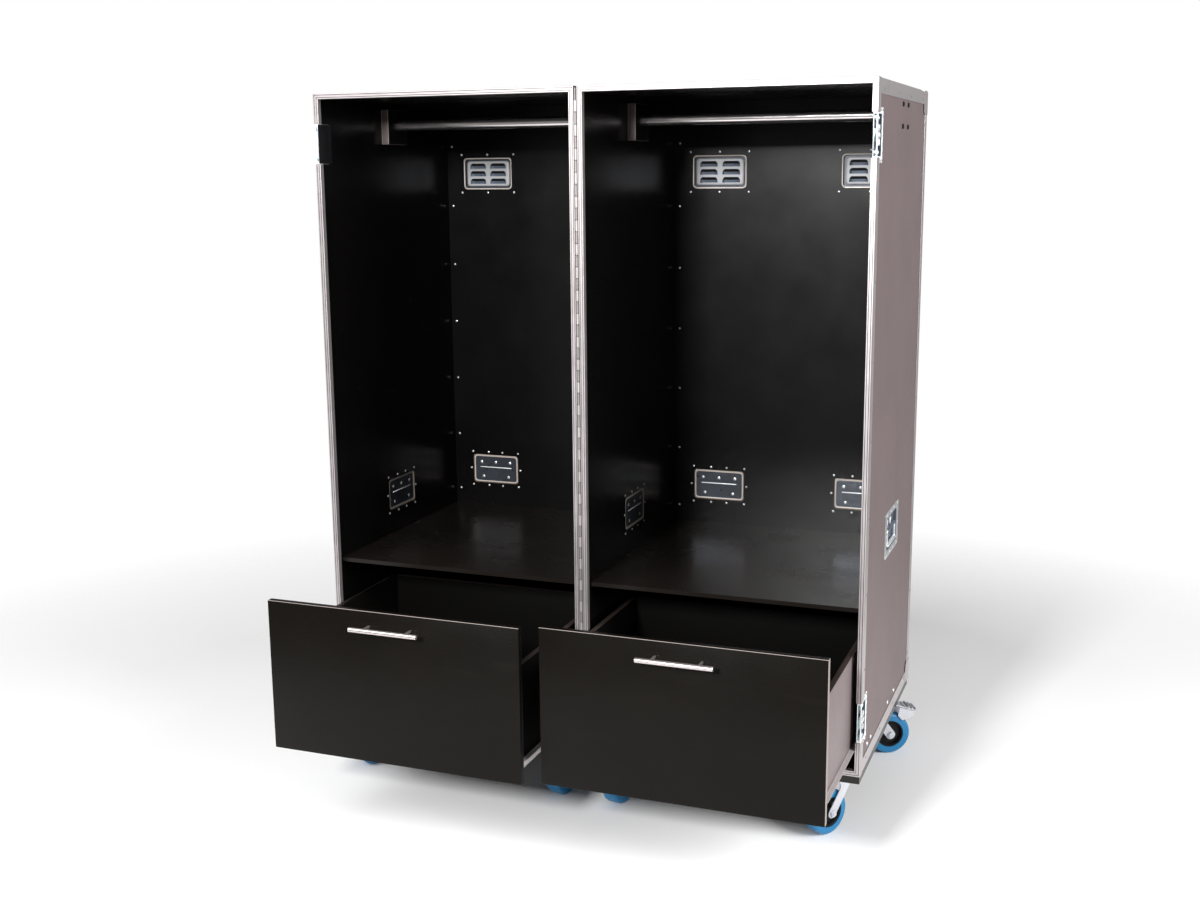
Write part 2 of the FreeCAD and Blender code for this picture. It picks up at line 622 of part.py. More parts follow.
def fittings():
    """Dishes, vents, latches and bails in the walls."""
    dish, grip, louvres = handle_dish(), bail(), vent()
    dishes = [placed(dish, x, y, HANDLE_Z, turn) for name, x, y, turn in handle_places()]
    dishes += [placed(louvres, x, y, VENT_Z) for x, y in vent_places()]
    # The bails on the hinge sides can't swing out while the halves stand side by side.
    dishes += [placed(grip, x, y, HANDLE_Z, turn) for name, x, y, turn in handle_places() if name == "hinge"]
    latch, keeper, turning, sliding = latch_dish(), keeper_dish(), wing(), hook()
    levels = latch_heights()
    latches = [placed(latch, RIGHT_FACE, "0", level, "-90") for level in levels.values()]
    keepers = [placed(keeper, RIGHT_FACE, "0", level, "-90") for level in levels.values()]
    node("dishes_right", dishes + latches)
    node("dishes_left", [mirrored(piece) for piece in dishes + keepers])
    for name, level in levels.items():
        node(f"latch_wing_{name}", [placed(turning, RIGHT_FACE, "0", level, "-90")])
        node(f"latch_hook_{name}", [placed(sliding, RIGHT_FACE, "0", level, "-90")])
    for name, x, y, turn in handle_places():
        if name != "hinge":
            halves(f"bail_{name}", placed(grip, x, y, HANDLE_Z, turn))


HINGE_LOW = f"({BODY_Z} + hinge_inset)"
HINGE_HIGH = f"({BODY_TOP} - hinge_inset)"
KNUCKLE_RADIUS = "(half_gap - knuckle_fit)"
LEAF_START = f"({KNUCKLE_RADIUS} + leaf_fit)"
KNUCKLE = f"(({HINGE_HIGH} - {HINGE_LOW}) / (2 * knuckle_pairs))"


def hinge_leaf(name, first):
    """A piano hinge leaf; its knuckles take every other place, from the first or the second."""
    across = (f"{HINGE_SIDE} - leaf_thick", HINGE_SIDE)
    pieces = [block(f"{name}Flat", across, (LEAF_START, "leaf_width"), (HINGE_LOW, HINGE_HIGH))]
    for turn in range(int(float(sheet.get("knuckle_pairs")))):
        start = f"({HINGE_LOW} + {2 * turn + first} * {KNUCKLE})"
        tall = (f"{start} + knuckle_gap / 2", f"{start} + {KNUCKLE} - knuckle_gap / 2")
        pieces.append(rod(f"{name}Knuckle", "z", ("0", "0"), KNUCKLE_RADIUS, tall))
        pieces.append(block(f"{name}Tab", across, ("0", LEAF_START), tall))
    bore = rod(f"{name}Bore", "z", ("0", "0"), "pin_radius + pivot_fit", ("0", f"2 * {HINGE_HIGH}"))
    return cut(name, fuse(f"{name}Solid", *pieces), bore)


def hinge():
    pin = rod("HingePin", "z", ("0", "0"), "pin_radius", (HINGE_LOW, HINGE_HIGH))
    node("hinge_leaf_right", [hinge_leaf("RightLeaf", 0)])
    node("hinge_leaf_left", [mirrored(hinge_leaf("LeftLeaf", 1)), pin])


FRONT_TOP = f"({SHELF_UNDER} - front_high_gap)"
SIDE_FACE = f"({OUTER_WALL} - runner_space)"
SIDE_BOTTOM = f"({BODY_Z} + side_low)"
CHANNEL_LOW = f"({SIDE_BOTTOM} - runner_sheet)"
ROLLER_Z = f"({CHANNEL_LOW} + runner_sheet + roller_fit + roller_radius)"
RUNNER_START = "(front_thick + runner_lead)"
BOX_END = f"({BACK_WALL} - closed_setback - box_gap)"


def drawer_pieces():
    """Front, box and bar handle of a drawer; its front face is at y = 0."""
    front = block("DrawerFront", (f"{HINGE_SIDE} + {PROFILE_FACE} + front_gap",
                                  f"{OUTER_SIDE} - {PROFILE_FACE} - front_gap"),
                  ("0", "front_thick"), (f"{BODY_Z} + {PROFILE_FACE} + front_low_gap", FRONT_TOP))
    tall = (SIDE_BOTTOM, f"{FRONT_TOP} - side_drop")
    depth = ("front_thick", BOX_END)
    side = block("DrawerSide", (f"{SIDE_FACE} - side_thick", SIDE_FACE), depth, tall)
    inner = (f"{HINGE_WALL} + runner_space + side_thick", f"{SIDE_FACE} - side_thick")
    rear = block("DrawerRear", inner, (f"{depth[1]} - side_thick", depth[1]), tall)
    bottom = block("DrawerBottom", inner, (depth[0], f"{depth[1]} - side_thick"),
                   (f"{SIDE_BOTTOM} + floor_rise", f"{SIDE_BOTTOM} + floor_rise + box_floor"))
    box = [side, mirrored(side, MIDDLE), rear, bottom]
    level = f"({FRONT_TOP} - bar_drop)"
    bar = rod("HandleBar", "x", ("-bar_stand", level), "bar_radius", about(MIDDLE, "bar_length"))
    posts = [rod("HandlePost", "y", (f"{MIDDLE} + {sign} * bar_posts / 2", level), "post_radius",
                 ("-bar_stand", "0")) for sign in (-1, 1)]
    return front, box, fuse("BarHandle", bar, *posts)


def case_runner():
    """The channel on the outer wall, with the front roller."""
    start = f"(closed_setback + {RUNNER_START})"
    depth = (start, f"{BACK_WALL} - channel_gap")
    shelf_x = (f"{SIDE_FACE} + runner_sheet + runner_fit", OUTER_WALL)
    web = block("ChannelWeb", (f"{OUTER_WALL} - runner_sheet", OUTER_WALL), depth,
                (CHANNEL_LOW, f"{CHANNEL_LOW} + channel_tall"))
    low = block("ChannelLow", shelf_x, depth, (CHANNEL_LOW, f"{CHANNEL_LOW} + runner_sheet"))
    high = block("ChannelHigh", shelf_x, depth,
                 (f"{CHANNEL_LOW} + channel_tall - runner_sheet", f"{CHANNEL_LOW} + channel_tall"))
    roller = rod("CaseRoller", "x", (f"{start} + roller_inset", ROLLER_Z), "roller_radius",
                 (f"{OUTER_WALL} - runner_sheet - roller_width", f"{OUTER_WALL} - runner_sheet"))
    return fuse("CaseRunner", web, low, high, roller)


def drawer_runner():
    """The angle along the bottom of a drawer side, with the rear roller and the lip over both rollers."""
    depth = (RUNNER_START, f"{BOX_END} - member_gap")
    low = (CHANNEL_LOW, SIDE_BOTTOM)
    upright = block("MemberUpright", (SIDE_FACE, f"{SIDE_FACE} + runner_sheet"), depth,
                    (CHANNEL_LOW, f"{SIDE_BOTTOM} + member_tall"))
    under = block("MemberUnder", (f"{SIDE_FACE} - side_thick", SIDE_FACE), depth, low)
    lip_z = f"({ROLLER_Z} + roller_radius + roller_fit)"
    lip_x = (f"{SIDE_FACE} + runner_sheet", f"{OUTER_WALL} - runner_sheet - runner_fit")
    lip = block("MemberLip", lip_x, depth, (lip_z, f"{lip_z} + runner_sheet"))
    roller = rod("DrawerRoller", "x", (f"{depth[1]} - roller_inset", ROLLER_Z), "roller_radius",
                 (f"{SIDE_FACE} + runner_sheet", f"{SIDE_FACE} + runner_sheet + roller_width"))
    return fuse("DrawerRunner", upright, under, lip, roller)


def drawers():
    front, box, bar = drawer_pieces()
    channel, member = case_runner(), drawer_runner()
    halves("case_runners", channel, mirrored(channel, MIDDLE))
    sets = {"drawer_front": [front], "drawer_box": box, "drawer_handle": [bar],
            "drawer_runners": [member, mirrored(member, MIDDLE)]}
    for name, pieces in sets.items():
        node(f"{name}_right", pieces, y="-out_right")
        node(f"{name}_left", [mirrored(piece) for piece in pieces], y="-out_left")


# Castors are drawn round the swivel axis at x = y = 0, trailing towards +x, with the floor at z = 0.
PLATE_LOW = "(castor_height - plate_thick)"
RACE_LOW = f"({PLATE_LOW} - race_thick)"
CROWN_TOP = f"({RACE_LOW} - swivel_gap)"
CROWN_LOW = f"({CROWN_TOP} - crown_thick)"
NUT_TOP = f"({CROWN_LOW} - swivel_gap)"
LEG_IN = "(wheel_width / 2 + wheel_gap)"
LEG_OUT = f"({LEG_IN} + leg_thick)"


def castor_plate():
    flat = block("CastorFlat", about("0", "plate_width"), about("0", "plate_length"),
                 (PLATE_LOW, "castor_height"))
    race = rod("CastorRace", "z", ("0", "0"), "race_radius", (RACE_LOW, PLATE_LOW))
    pin = rod("Kingpin", "z", ("0", "0"), "kingpin_radius", (f"{NUT_TOP} - nut_thick", PLATE_LOW))
    nut = rod("KingpinNut", "z", ("0", "0"), "kingpin_nut", (f"{NUT_TOP} - nut_thick", NUT_TOP))
    return fuse("CastorPlate", flat, race, pin, nut)


def fork(name, braked):
    """Crown, two legs and the wheel's axle; a braked castor has a pedal over its wheel."""
    bore = rod(f"{name}Bore", "z", ("0", "0"), "kingpin_radius + pivot_fit", (CROWN_LOW, CROWN_TOP))
    disc = rod(f"{name}Disc", "z", ("0", "0"), "crown_radius", (CROWN_LOW, CROWN_TOP))
    saddle = block(f"{name}Saddle", about("0", "leg_top"), about("0", f"2 * {LEG_OUT}"),
                   (CROWN_LOW, CROWN_TOP))
    pieces = [cut(f"{name}Crown", fuse(f"{name}CrownSolid", disc, saddle), bore)]
    corners = [("-leg_top / 2", CROWN_TOP), ("castor_trail - leg_end", "wheel_radius"),
               ("castor_trail + leg_end", "wheel_radius"), ("leg_top / 2", CROWN_TOP)]
    legs = pad(f"{name}Legs", corners, f"2 * {LEG_OUT}")
    between = block(f"{name}Between", ("-2 * leg_top", "4 * leg_top"), about("0", f"2 * {LEG_IN}"),
                    ("0", CROWN_LOW))
    over = block(f"{name}Over", about("0", "2 * crown_radius"), about("0", f"2 * {LEG_IN}"),
                 (CROWN_LOW, "castor_height"))
    pieces.append(cut(f"{name}LegPair", legs, between, over))
    hub = ("castor_trail", "wheel_radius")
    for label, low, high in (("Near", f"-{LEG_OUT}", f"-{LEG_IN}"), ("Far", LEG_IN, LEG_OUT)):
        pieces.append(rod(f"{name}Eye{label}", "y", hub, "leg_end", (low, high)))
    pieces.append(rod(f"{name}Axle", "y", hub, "axle_radius", about("0", f"2 * ({LEG_OUT} + nut_thick)")))
    for label, low, high in (("Near", f"-({LEG_OUT} + nut_thick)", f"-{LEG_OUT}"),
                             ("Far", LEG_OUT, f"{LEG_OUT} + nut_thick")):
        pieces.append(rod(f"{name}Nut{label}", "y", hub, "axle_head", (low, high)))
    if braked:
        root_x = "(kingpin_nut + nut_thick)"
        tip_x, tip_z = "(castor_trail + pedal_reach)", "(wheel_radius + pedal_drop)"
        strip = [(root_x, CROWN_LOW), (tip_x, tip_z), (tip_x, f"{tip_z} + pedal_thick"),
                 (f"{root_x} + pedal_thick", f"{CROWN_LOW} + crown_thick / 2"),
                 (root_x, f"{CROWN_LOW} + crown_thick / 2")]
        pieces.append(pad(f"{name}Pedal", strip, "pedal_width"))
    return fuse(name, *pieces)


def wheel():
    """A tyre on its hub, upright on the axle."""
    rim, half = "(wheel_radius - tyre_thick)", "wheel_width / 2"
    shoulder, crown = "(wheel_radius - tyre_round)", f"({half} - tyre_round)"
    bore = "(axle_radius + pivot_fit)"
    tyre = turned("Tyre", [(rim, f"-{half}"), (shoulder, f"-{half}"), ("wheel_radius", f"-{crown}"),
                           ("wheel_radius", crown), (shoulder, half), (rim, half)])
    seat = f"({rim} - tyre_fit)"
    hub = turned("WheelHub", [(bore, f"-{half}"), (seat, f"-{half}"), (seat, half), (bore, half)])
    for piece in (tyre, hub):
        piece.Placement.Rotation = FreeCAD.Rotation(AXES["z"], AXES["y"])
        tie(piece, Placement_Base_x="castor_trail", Placement_Base_z="wheel_radius")
    return [tyre, hub]


def castors():
    """Four swivel castors under each half, the rear ones with brakes."""
    plate_piece, rolling = castor_plate(), wheel()
    forks = {"front": fork("PlainFork", False), "rear": fork("BrakedFork", True)}
    spans = {"outer": f"({OUTER_SIDE} - castor_side)", "inner": f"({HINGE_SIDE} + castor_side)"}
    depths = {"front": "castor_end", "rear": "(case_depth - castor_end)"}
    turns = {("front", "outer", "right"): "turn_front", ("front", "outer", "left"): "turn_front",
             ("rear", "outer", "right"): "turn_rear", ("rear", "outer", "left"): "180 - turn_rear"}
    places = itertools.product(spans.values(), depths.values())
    halves("castor_plates", *[placed(plate_piece, x, y, "0") for x, y in places])
    for end, side, half in itertools.product(depths, spans, ("right", "left")):
        x = spans[side] if half == "right" else f"-{spans[side]}"
        turn = turns.get((end, side, half), "turn_inner")
        node(f"castor_fork_{end}_{side}_{half}", [forks[end]], x, depths[end], turn)
        node(f"castor_wheel_{end}_{side}_{half}", rolling, x, depths[end], turn)


def export():
    """Check every object, then write each node's solids to its own file."""
    doc.recompute()
    for thing in doc.Objects:
        if {"Invalid", "Error"} & set(thing.State):
            raise RuntimeError(f"{thing.Name} failed: {thing.State}")
    os.makedirs("parts", exist_ok=True)
    for whole in NODES:
        shape = whole.Shape
        if shape.isNull() or not shape.isValid() or not shape.Solids:
            raise RuntimeError(f"{whole.Label} has no valid solid")
        solids = shape.Solids
        result = solids[0] if len(solids) == 1 else Part.makeCompound(solids)
        result.exportStep(f"parts/{whole.Label}.step")
    print(f"{len(NODES)} nodes written")


panels()
edging()
clothes_rail()
fittings()
hinge()
drawers()
castors()
export()
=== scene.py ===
import itertools
import json
import math

import bmesh
import bpy
from mathutils import Matrix, Vector


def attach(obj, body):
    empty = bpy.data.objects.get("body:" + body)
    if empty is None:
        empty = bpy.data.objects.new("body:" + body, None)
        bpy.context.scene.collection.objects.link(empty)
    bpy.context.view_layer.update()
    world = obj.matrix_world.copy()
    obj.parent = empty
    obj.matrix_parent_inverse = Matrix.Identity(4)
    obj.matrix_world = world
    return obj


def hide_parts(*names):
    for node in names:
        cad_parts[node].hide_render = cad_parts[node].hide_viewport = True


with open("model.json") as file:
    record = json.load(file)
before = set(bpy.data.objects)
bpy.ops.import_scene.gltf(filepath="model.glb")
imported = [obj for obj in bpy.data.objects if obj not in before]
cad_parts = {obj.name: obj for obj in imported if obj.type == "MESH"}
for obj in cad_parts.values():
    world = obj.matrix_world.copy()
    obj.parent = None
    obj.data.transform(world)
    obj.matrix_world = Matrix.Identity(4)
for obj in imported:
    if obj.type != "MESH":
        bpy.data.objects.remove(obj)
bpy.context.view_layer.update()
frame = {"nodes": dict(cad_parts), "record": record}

bl_info = {
    "name": "Wardrobe trunk",
    "version": (1, 0),
    "blender": (4, 2, 0),
    "location": "3D View > Sidebar > Trunk",
    "description": "Builds the visible surfaces of a two-halved wardrobe trunk on castors",
    "category": "Object",
}

MM = 0.001
SIDES = {"right": 1, "left": -1}


# ---- what a user may change

def length(name, description, millimetres):
    return bpy.props.FloatProperty(name=name, description=description, default=millimetres * MM,
                                   min=0.0, subtype="DISTANCE", unit="LENGTH")


def colour(name, description, tone):
    return bpy.props.FloatVectorProperty(name=name, description=description, default=tone, size=3,
                                         min=0.0, max=1.0, subtype="COLOR")


def power(name, description, watts):
    return bpy.props.FloatProperty(name=name, description=description, default=watts, min=0.0,
                                   unit="POWER")


class TrunkSizes(bpy.types.PropertyGroup):
    """Sizes of the details on the trunk."""
    rivet_pitch: length("Rivet pitch", "Distance between the rivets of the edge angles", 158.0)
    edge_rivet: length("Edge rivet", "Radius of the rivets on the edge angles", 3.4)
    fitting_rivet: length("Fitting rivet", "Radius of the rivets round the fittings, outside", 2.6)
    inner_rivet: length("Inner rivet", "Radius of the rivets round the fittings, inside", 2.8)
    dish_rivet: length("Dish rivet", "Radius of the rivets on the backs of the handle dishes", 4.0)
    block_screw: length("Rail screw", "Radius of the screws that hold the rail blocks", 5.4)
    runner_screw: length("Runner screw", "Radius of the screws that hold the runners", 4.4)
    knuckle_pitch: length("Knuckle pitch", "Length of one knuckle of the piano hinge with its gap", 24.0)
    cap_bend: length("Cap bend", "Radius of the corner caps' bends", 5.0)
    bar_radius: length("Bar radius", "Radius of the drawers' bar handles", 5.2)
    post_radius: length("Post radius", "Radius of the bar handles' posts", 3.0)
    edge_softness: length("Edge softness", "Rounding of the cut edges of boards", 0.8)


class TrunkColours(bpy.types.PropertyGroup):
    """Base colours of the finishes."""
    # Outside colour: a light tone painted as sheen over the case's dark film.
    outside_sheen_film: colour("Outside film", "Film on the outside of the case", (0.163, 0.124, 0.125))
    dark_film: colour("Inside film", "Film on the inside of the case", (0.0027, 0.0023, 0.0023))
    shelf: colour("Shelf", "Film on the shelves", (0.0085, 0.0066, 0.0057))
    drawer: colour("Drawer front", "Film on the drawer fronts", (0.0036, 0.0027, 0.0019))
    aluminium: colour("Aluminium", "Closing profiles and edge angles", (0.53, 0.488, 0.493))
    zinc: colour("Zinc", "Pressed fittings", (0.70, 0.715, 0.73))
    tyre: colour("Tyre", "Rubber of the wheels", (0.008, 0.165, 0.36))


class TrunkStudio(bpy.types.PropertyGroup):
    """Light and floor of the studio."""
    sky: bpy.props.FloatProperty(name="Sky", description="Strength of the even light all round",
                                 default=0.26, min=0.0)
    key: power("Key lamp", "Power of the large lamp at the front left", 215.0)
    side: power("Side lamp", "Power of the lamp at the right", 260.0)
    front: power("Front lamp", "Power of the lamp that lights the inside", 262.0)
    floor_start: length("Floor fades from", "Distance at which the floor starts to fade out", 1500.0)
    floor_end: length("Floor fades to", "Distance at which the floor has faded out", 2600.0)


def colours():
    return bpy.context.scene.trunk_colours


def studio():
    return bpy.context.scene.trunk_studio


def size_of(name):
    """One of the trunk's sizes, in millimetres."""
    return getattr(bpy.context.scene.trunk_sizes, name) / MM


# ---- shader building

class Wire:
    """One output of a shader node, with arithmetic."""

    def __init__(self, finish, socket):
        self.finish = finish
        self.socket = socket

    def math(self, operation, *others, clamp=False):
        """A math node that takes this wire first."""
        settings = {"operation": operation, "use_clamp": clamp}
        values = dict(enumerate((self,) + others))
        return self.finish.node("ShaderNodeMath", settings, values, "Value")

    def __add__(self, other):
        return self.math("ADD", other)

    def __sub__(self, other):
        return self.math("SUBTRACT", other)

    def __rsub__(self, other):
        return self.finish.value(other).math("SUBTRACT", self)

    def __mul__(self, other):
        return self.math("MULTIPLY", other)

    def __gt__(self, other):
        return self.math("GREATER_THAN", other)

    def __lt__(self, other):
        return self.math("LESS_THAN", other)

    def __abs__(self):
        return self.math("ABSOLUTE")

    def between(self, low, high):
        """Rises from 0 at low to 1 at high, clamped."""
        return ((self - low) * (1 / (high - low))).math("ADD", 0.0, clamp=True)


class Finish:
    """A material whose surface is one Principled node."""

    def __init__(self, name, color, roughness, metallic=0.0):
        self.material = bpy.data.materials.new(name)
        self.material.use_nodes = True
        self.tree = self.material.node_tree
        self.tree.nodes.clear()
        self.surface = self.tree.nodes.new("ShaderNodeBsdfPrincipled")
        output = self.tree.nodes.new("ShaderNodeOutputMaterial")
        self.tree.links.new(self.surface.outputs["BSDF"], output.inputs["Surface"])
        self.set("Base Color", color)
        self.set("Roughness", roughness)
        self.set("Metallic", metallic)
        self.position = self.node("ShaderNodeTexCoord", {}, {}, "Object")

    def plug(self, socket, value):
        """Links a wire to the socket, or sets a constant on the socket itself."""
        if isinstance(value, Wire):
            self.tree.links.new(value.socket, socket)
        elif isinstance(value, (tuple, list)) and socket.type == "RGBA":
            socket.default_value = (*value, 1.0)
        else:
            socket.default_value = value

    def node(self, kind, settings, values, result):
        """A new node with its settings and inputs; gives one of its outputs as a wire."""
        made = self.tree.nodes.new(kind)
        for name, value in settings.items():
            setattr(made, name, value)
        for key, value in values.items():
            self.plug(self.pick(made.inputs, key), value)
        return Wire(self, self.pick(made.outputs, result))

    @staticmethod
    def pick(sockets, key):
        """The socket at a number, or the enabled one with an identifier or name."""
        if isinstance(key, int):
            return sockets[key]
        return next(s for s in sockets if s.identifier == key or s.name == key and s.enabled)

    def value(self, number):
        """A number as a wire, for arithmetic that starts with it."""
        return self.node("ShaderNodeMath", {"operation": "ADD"}, {0: number, 1: 0.0}, "Value")

    def set(self, name, value):
        """Gives an input of the surface a number, a colour or a wire."""
        self.plug(self.surface.inputs[name], value)

    def axes(self):
        """x, y and z of the Object coordinates, in metres."""
        split = self.tree.nodes.new("ShaderNodeSeparateXYZ")
        self.plug(split.inputs[0], self.position)
        return [Wire(self, split.outputs[axis]) for axis in "XYZ"]

    def stretched(self, scale):
        """The Object coordinates with each axis scaled."""
        return self.node("ShaderNodeMapping", {}, {"Vector": self.position, "Scale": scale}, "Vector")

    def noise(self, scale, detail=3.0, roughness=0.5, along=(1, 1, 1)):
        values = {"Vector": self.stretched(along), "Scale": scale, "Detail": detail,
                  "Roughness": roughness}
        return self.node("ShaderNodeTexNoise", {}, values, "Fac")

    def weave(self, x, y, z, pitch):
        """A woven relief of crossing diagonals, from 0 to 1."""
        turn = 2 * math.pi / pitch
        across = x + y
        return ((across + z) * turn).math("SINE") * ((across - z) * turn).math("SINE") * 0.5 + 0.5

    def mix(self, amount, low, high):
        """A colour between low and high."""
        values = {"Factor_Float": amount, "A_Color": low, "B_Color": high}
        return self.node("ShaderNodeMix", {"data_type": "RGBA"}, values, "Result_Color")

    def bump(self, height, distance, strength):
        """A surface relief from a height wire."""
        values = {"Height": height, "Distance": distance, "Strength": strength}
        self.set("Normal", self.node("ShaderNodeBump", {}, values, "Normal"))


def shade(tone, level):
    """A colour made darker or lighter."""
    return tuple(channel * level for channel in tone)


def within(wire, low, high):
    """1 between two limits, 0 elsewhere."""
    return (wire > low) * (wire < high)


def either(first, *others):
    """1 where any of the wires is 1."""
    for other in others:
        first = first.math("MAXIMUM", other)
    return first


# Layers of ply come every millimetre and a half, as an angle for each metre.
PLIES = 4200.0
# Limits in metres, just inside the faces of the case's panels.
HINGE_PLY, OUTER_PLY, BACK_PLY = (0.0047, 0.0133), (0.6027, 0.6113), (0.4676, 0.4762)
BACK_SKIN, TOP_SKIN = 0.4761, 1.5622
BOARD_TOP, BOARD_SHADOW_LINE, BOARD_FRONT = 0.16405, 0.1618, -0.1484
# Depths of the closing face's groove, and how far from the middle the seam beside the hinge lies.
GROOVE, SEAM = (-0.1495, -0.1484), (0.0029, 0.0042)


def film_panel():
    """Film-faced plywood: dark film inside, a light tone outside as painted sheen on the same film, pale
    plies on the cut edges.
    """
    finish = Finish("FilmPly", (0.2, 0.17, 0.17), 0.45)
    finish.set("Specular IOR Level", 0.26)
    x, y, z = finish.axes()
    outside = either(abs(x) > OUTER_PLY[1], y > BACK_SKIN, z > TOP_SKIN, abs(x) < HINGE_PLY[0])
    cloud = finish.noise(7.0, 4.0)
    fleck = finish.noise(240.0, 2.0)
    weave = finish.weave(x, y, z, 0.0042)
    pale, deep = tuple(colours().outside_sheen_film), tuple(colours().dark_film)
    light = finish.mix(cloud, shade(pale, 0.84), shade(pale, 1.12))
    light = finish.mix((fleck - 0.5) * 0.9, light, shade(pale, 1.9))
    light = finish.mix(weave * 0.4, light, shade(pale, 0.62))
    dark = finish.mix(cloud, shade(deep, 0.65), shade(deep, 1.35))
    # Outside, the light tone is painted sheen on the film; inside, the dark film.
    tone = finish.mix(outside, dark, light)
    cut = either(within(y, *BACK_PLY), within(abs(x), *OUTER_PLY) * (y > 0.0),
                 within(abs(x), *HINGE_PLY))
    layers = ((x + y) * PLIES).math("SINE") * 0.3 + 0.5
    plies = finish.mix(layers, (0.50, 0.43, 0.37), (0.33, 0.26, 0.21))
    tone = finish.mix(cut * (1.0 - outside), tone, plies)
    rim = (z * PLIES + cloud).math("SINE") * 0.25 + 0.5
    edge = finish.mix(rim, (0.165, 0.135, 0.128), (0.115, 0.090, 0.084))
    # Near-black on the castor board's front face and along its top just under the edging; the top strip
    # is a painted shadow line.
    edge = finish.mix(either(y < BOARD_FRONT, z > BOARD_SHADOW_LINE), edge, (0.0065, 0.0045, 0.0038))
    finish.set("Base Color", finish.mix(z < BOARD_TOP, tone, edge))
    finish.set("Roughness", finish.noise(11.0, 3.0) * 0.1 + 0.2 + outside * 0.26)
    finish.bump(finish.noise(900.0, 1.0) * 0.4 + weave * outside, 0.0002, 0.5)
    return finish.material


def film_board(name, tone, gloss, mirror=0.4, wear=0.25, relief=0.0006):
    """A film-faced board away from the case walls: faint cloud, scuffs along its length."""
    finish = Finish(name, tone, gloss)
    finish.set("Specular IOR Level", mirror)
    cloud = finish.noise(5.0, 4.0) * 0.5 + finish.noise(420.0, 3.0, along=(0.4, 1.0, 1.0)) * 0.5
    scuff = finish.noise(34.0, 5.0, 0.6, along=(0.15, 1.0, 1.0)).between(0.58, 0.8)
    film = finish.mix(cloud, shade(tone, 0.4), shade(tone, 1.6))
    finish.set("Base Color", finish.mix(scuff * wear, film, shade(tone, 2.2)))
    finish.set("Roughness", finish.noise(9.0, 3.0) * 0.16 + gloss - 0.08 + scuff * (wear * 0.32))
    finish.bump(finish.noise(420.0, 3.0, along=(0.4, 1.0, 1.0)), relief, 0.4)
    return finish.material


def ply_edge(name, light, dark):
    """A cut edge of plywood, with the layers of its plies."""
    finish = Finish(name, light, 0.6)
    finish.set("Specular IOR Level", 0.25)
    x, y = finish.axes()[:2]
    layer = ((y + x * 0.31) * PLIES).math("SINE") * 0.5 + 0.5
    grain = finish.noise(160.0, 4.0)
    finish.set("Base Color", finish.mix(layer * 0.35 + grain * 0.3, light, dark))
    finish.bump(grain, 0.0003, 0.4)
    return finish.material


def plain(name, color, roughness, metallic=0.0, spread=0.12, scale=30.0, depth=0.0002, mirror=0.5):
    """One tone with uneven gloss and a fine surface relief."""
    finish = Finish(name, color, roughness, metallic)
    finish.set("Specular IOR Level", mirror)
    grain = finish.noise(scale, 4.0)
    finish.set("Base Color", finish.mix(grain, shade(color, 1 - spread), shade(color, 1 + spread)))
    finish.set("Roughness", finish.noise(scale * 0.6, 3.0) * 0.2 + roughness - 0.1)
    finish.bump(finish.noise(scale * 12, 2.0), depth, 0.4)
    return finish.material


def profile_metal(tone):
    """Mill aluminium, with painted shade in the grooves of the closing face and in the seam beside the
    hinge.
    """
    finish = Finish("Aluminium", tone, 0.4, 0.75)
    x, y = finish.axes()[:2]
    grain = finish.noise(60.0, 4.0, along=(1.0, 1.0, 0.15))
    groove = within(y, *GROOVE) * (1.0 - (abs(x) < SEAM[0]))
    seam = within(abs(x), *SEAM) * (y < -0.1)
    color = finish.mix(grain, shade(tone, 0.93), shade(tone, 1.07))
    # Painted shade: darker in the groove floors and in the seam beside the hinge.
    finish.set("Base Color", finish.mix(either(groove, seam), color, shade(tone, 0.22)))
    finish.set("Roughness", finish.noise(36.0, 3.0) * 0.2 + 0.3)
    finish.bump(finish.noise(700.0, 2.0, along=(1.0, 1.0, 0.15)), 0.0001, 0.3)
    return finish.material


MATERIALS = {}


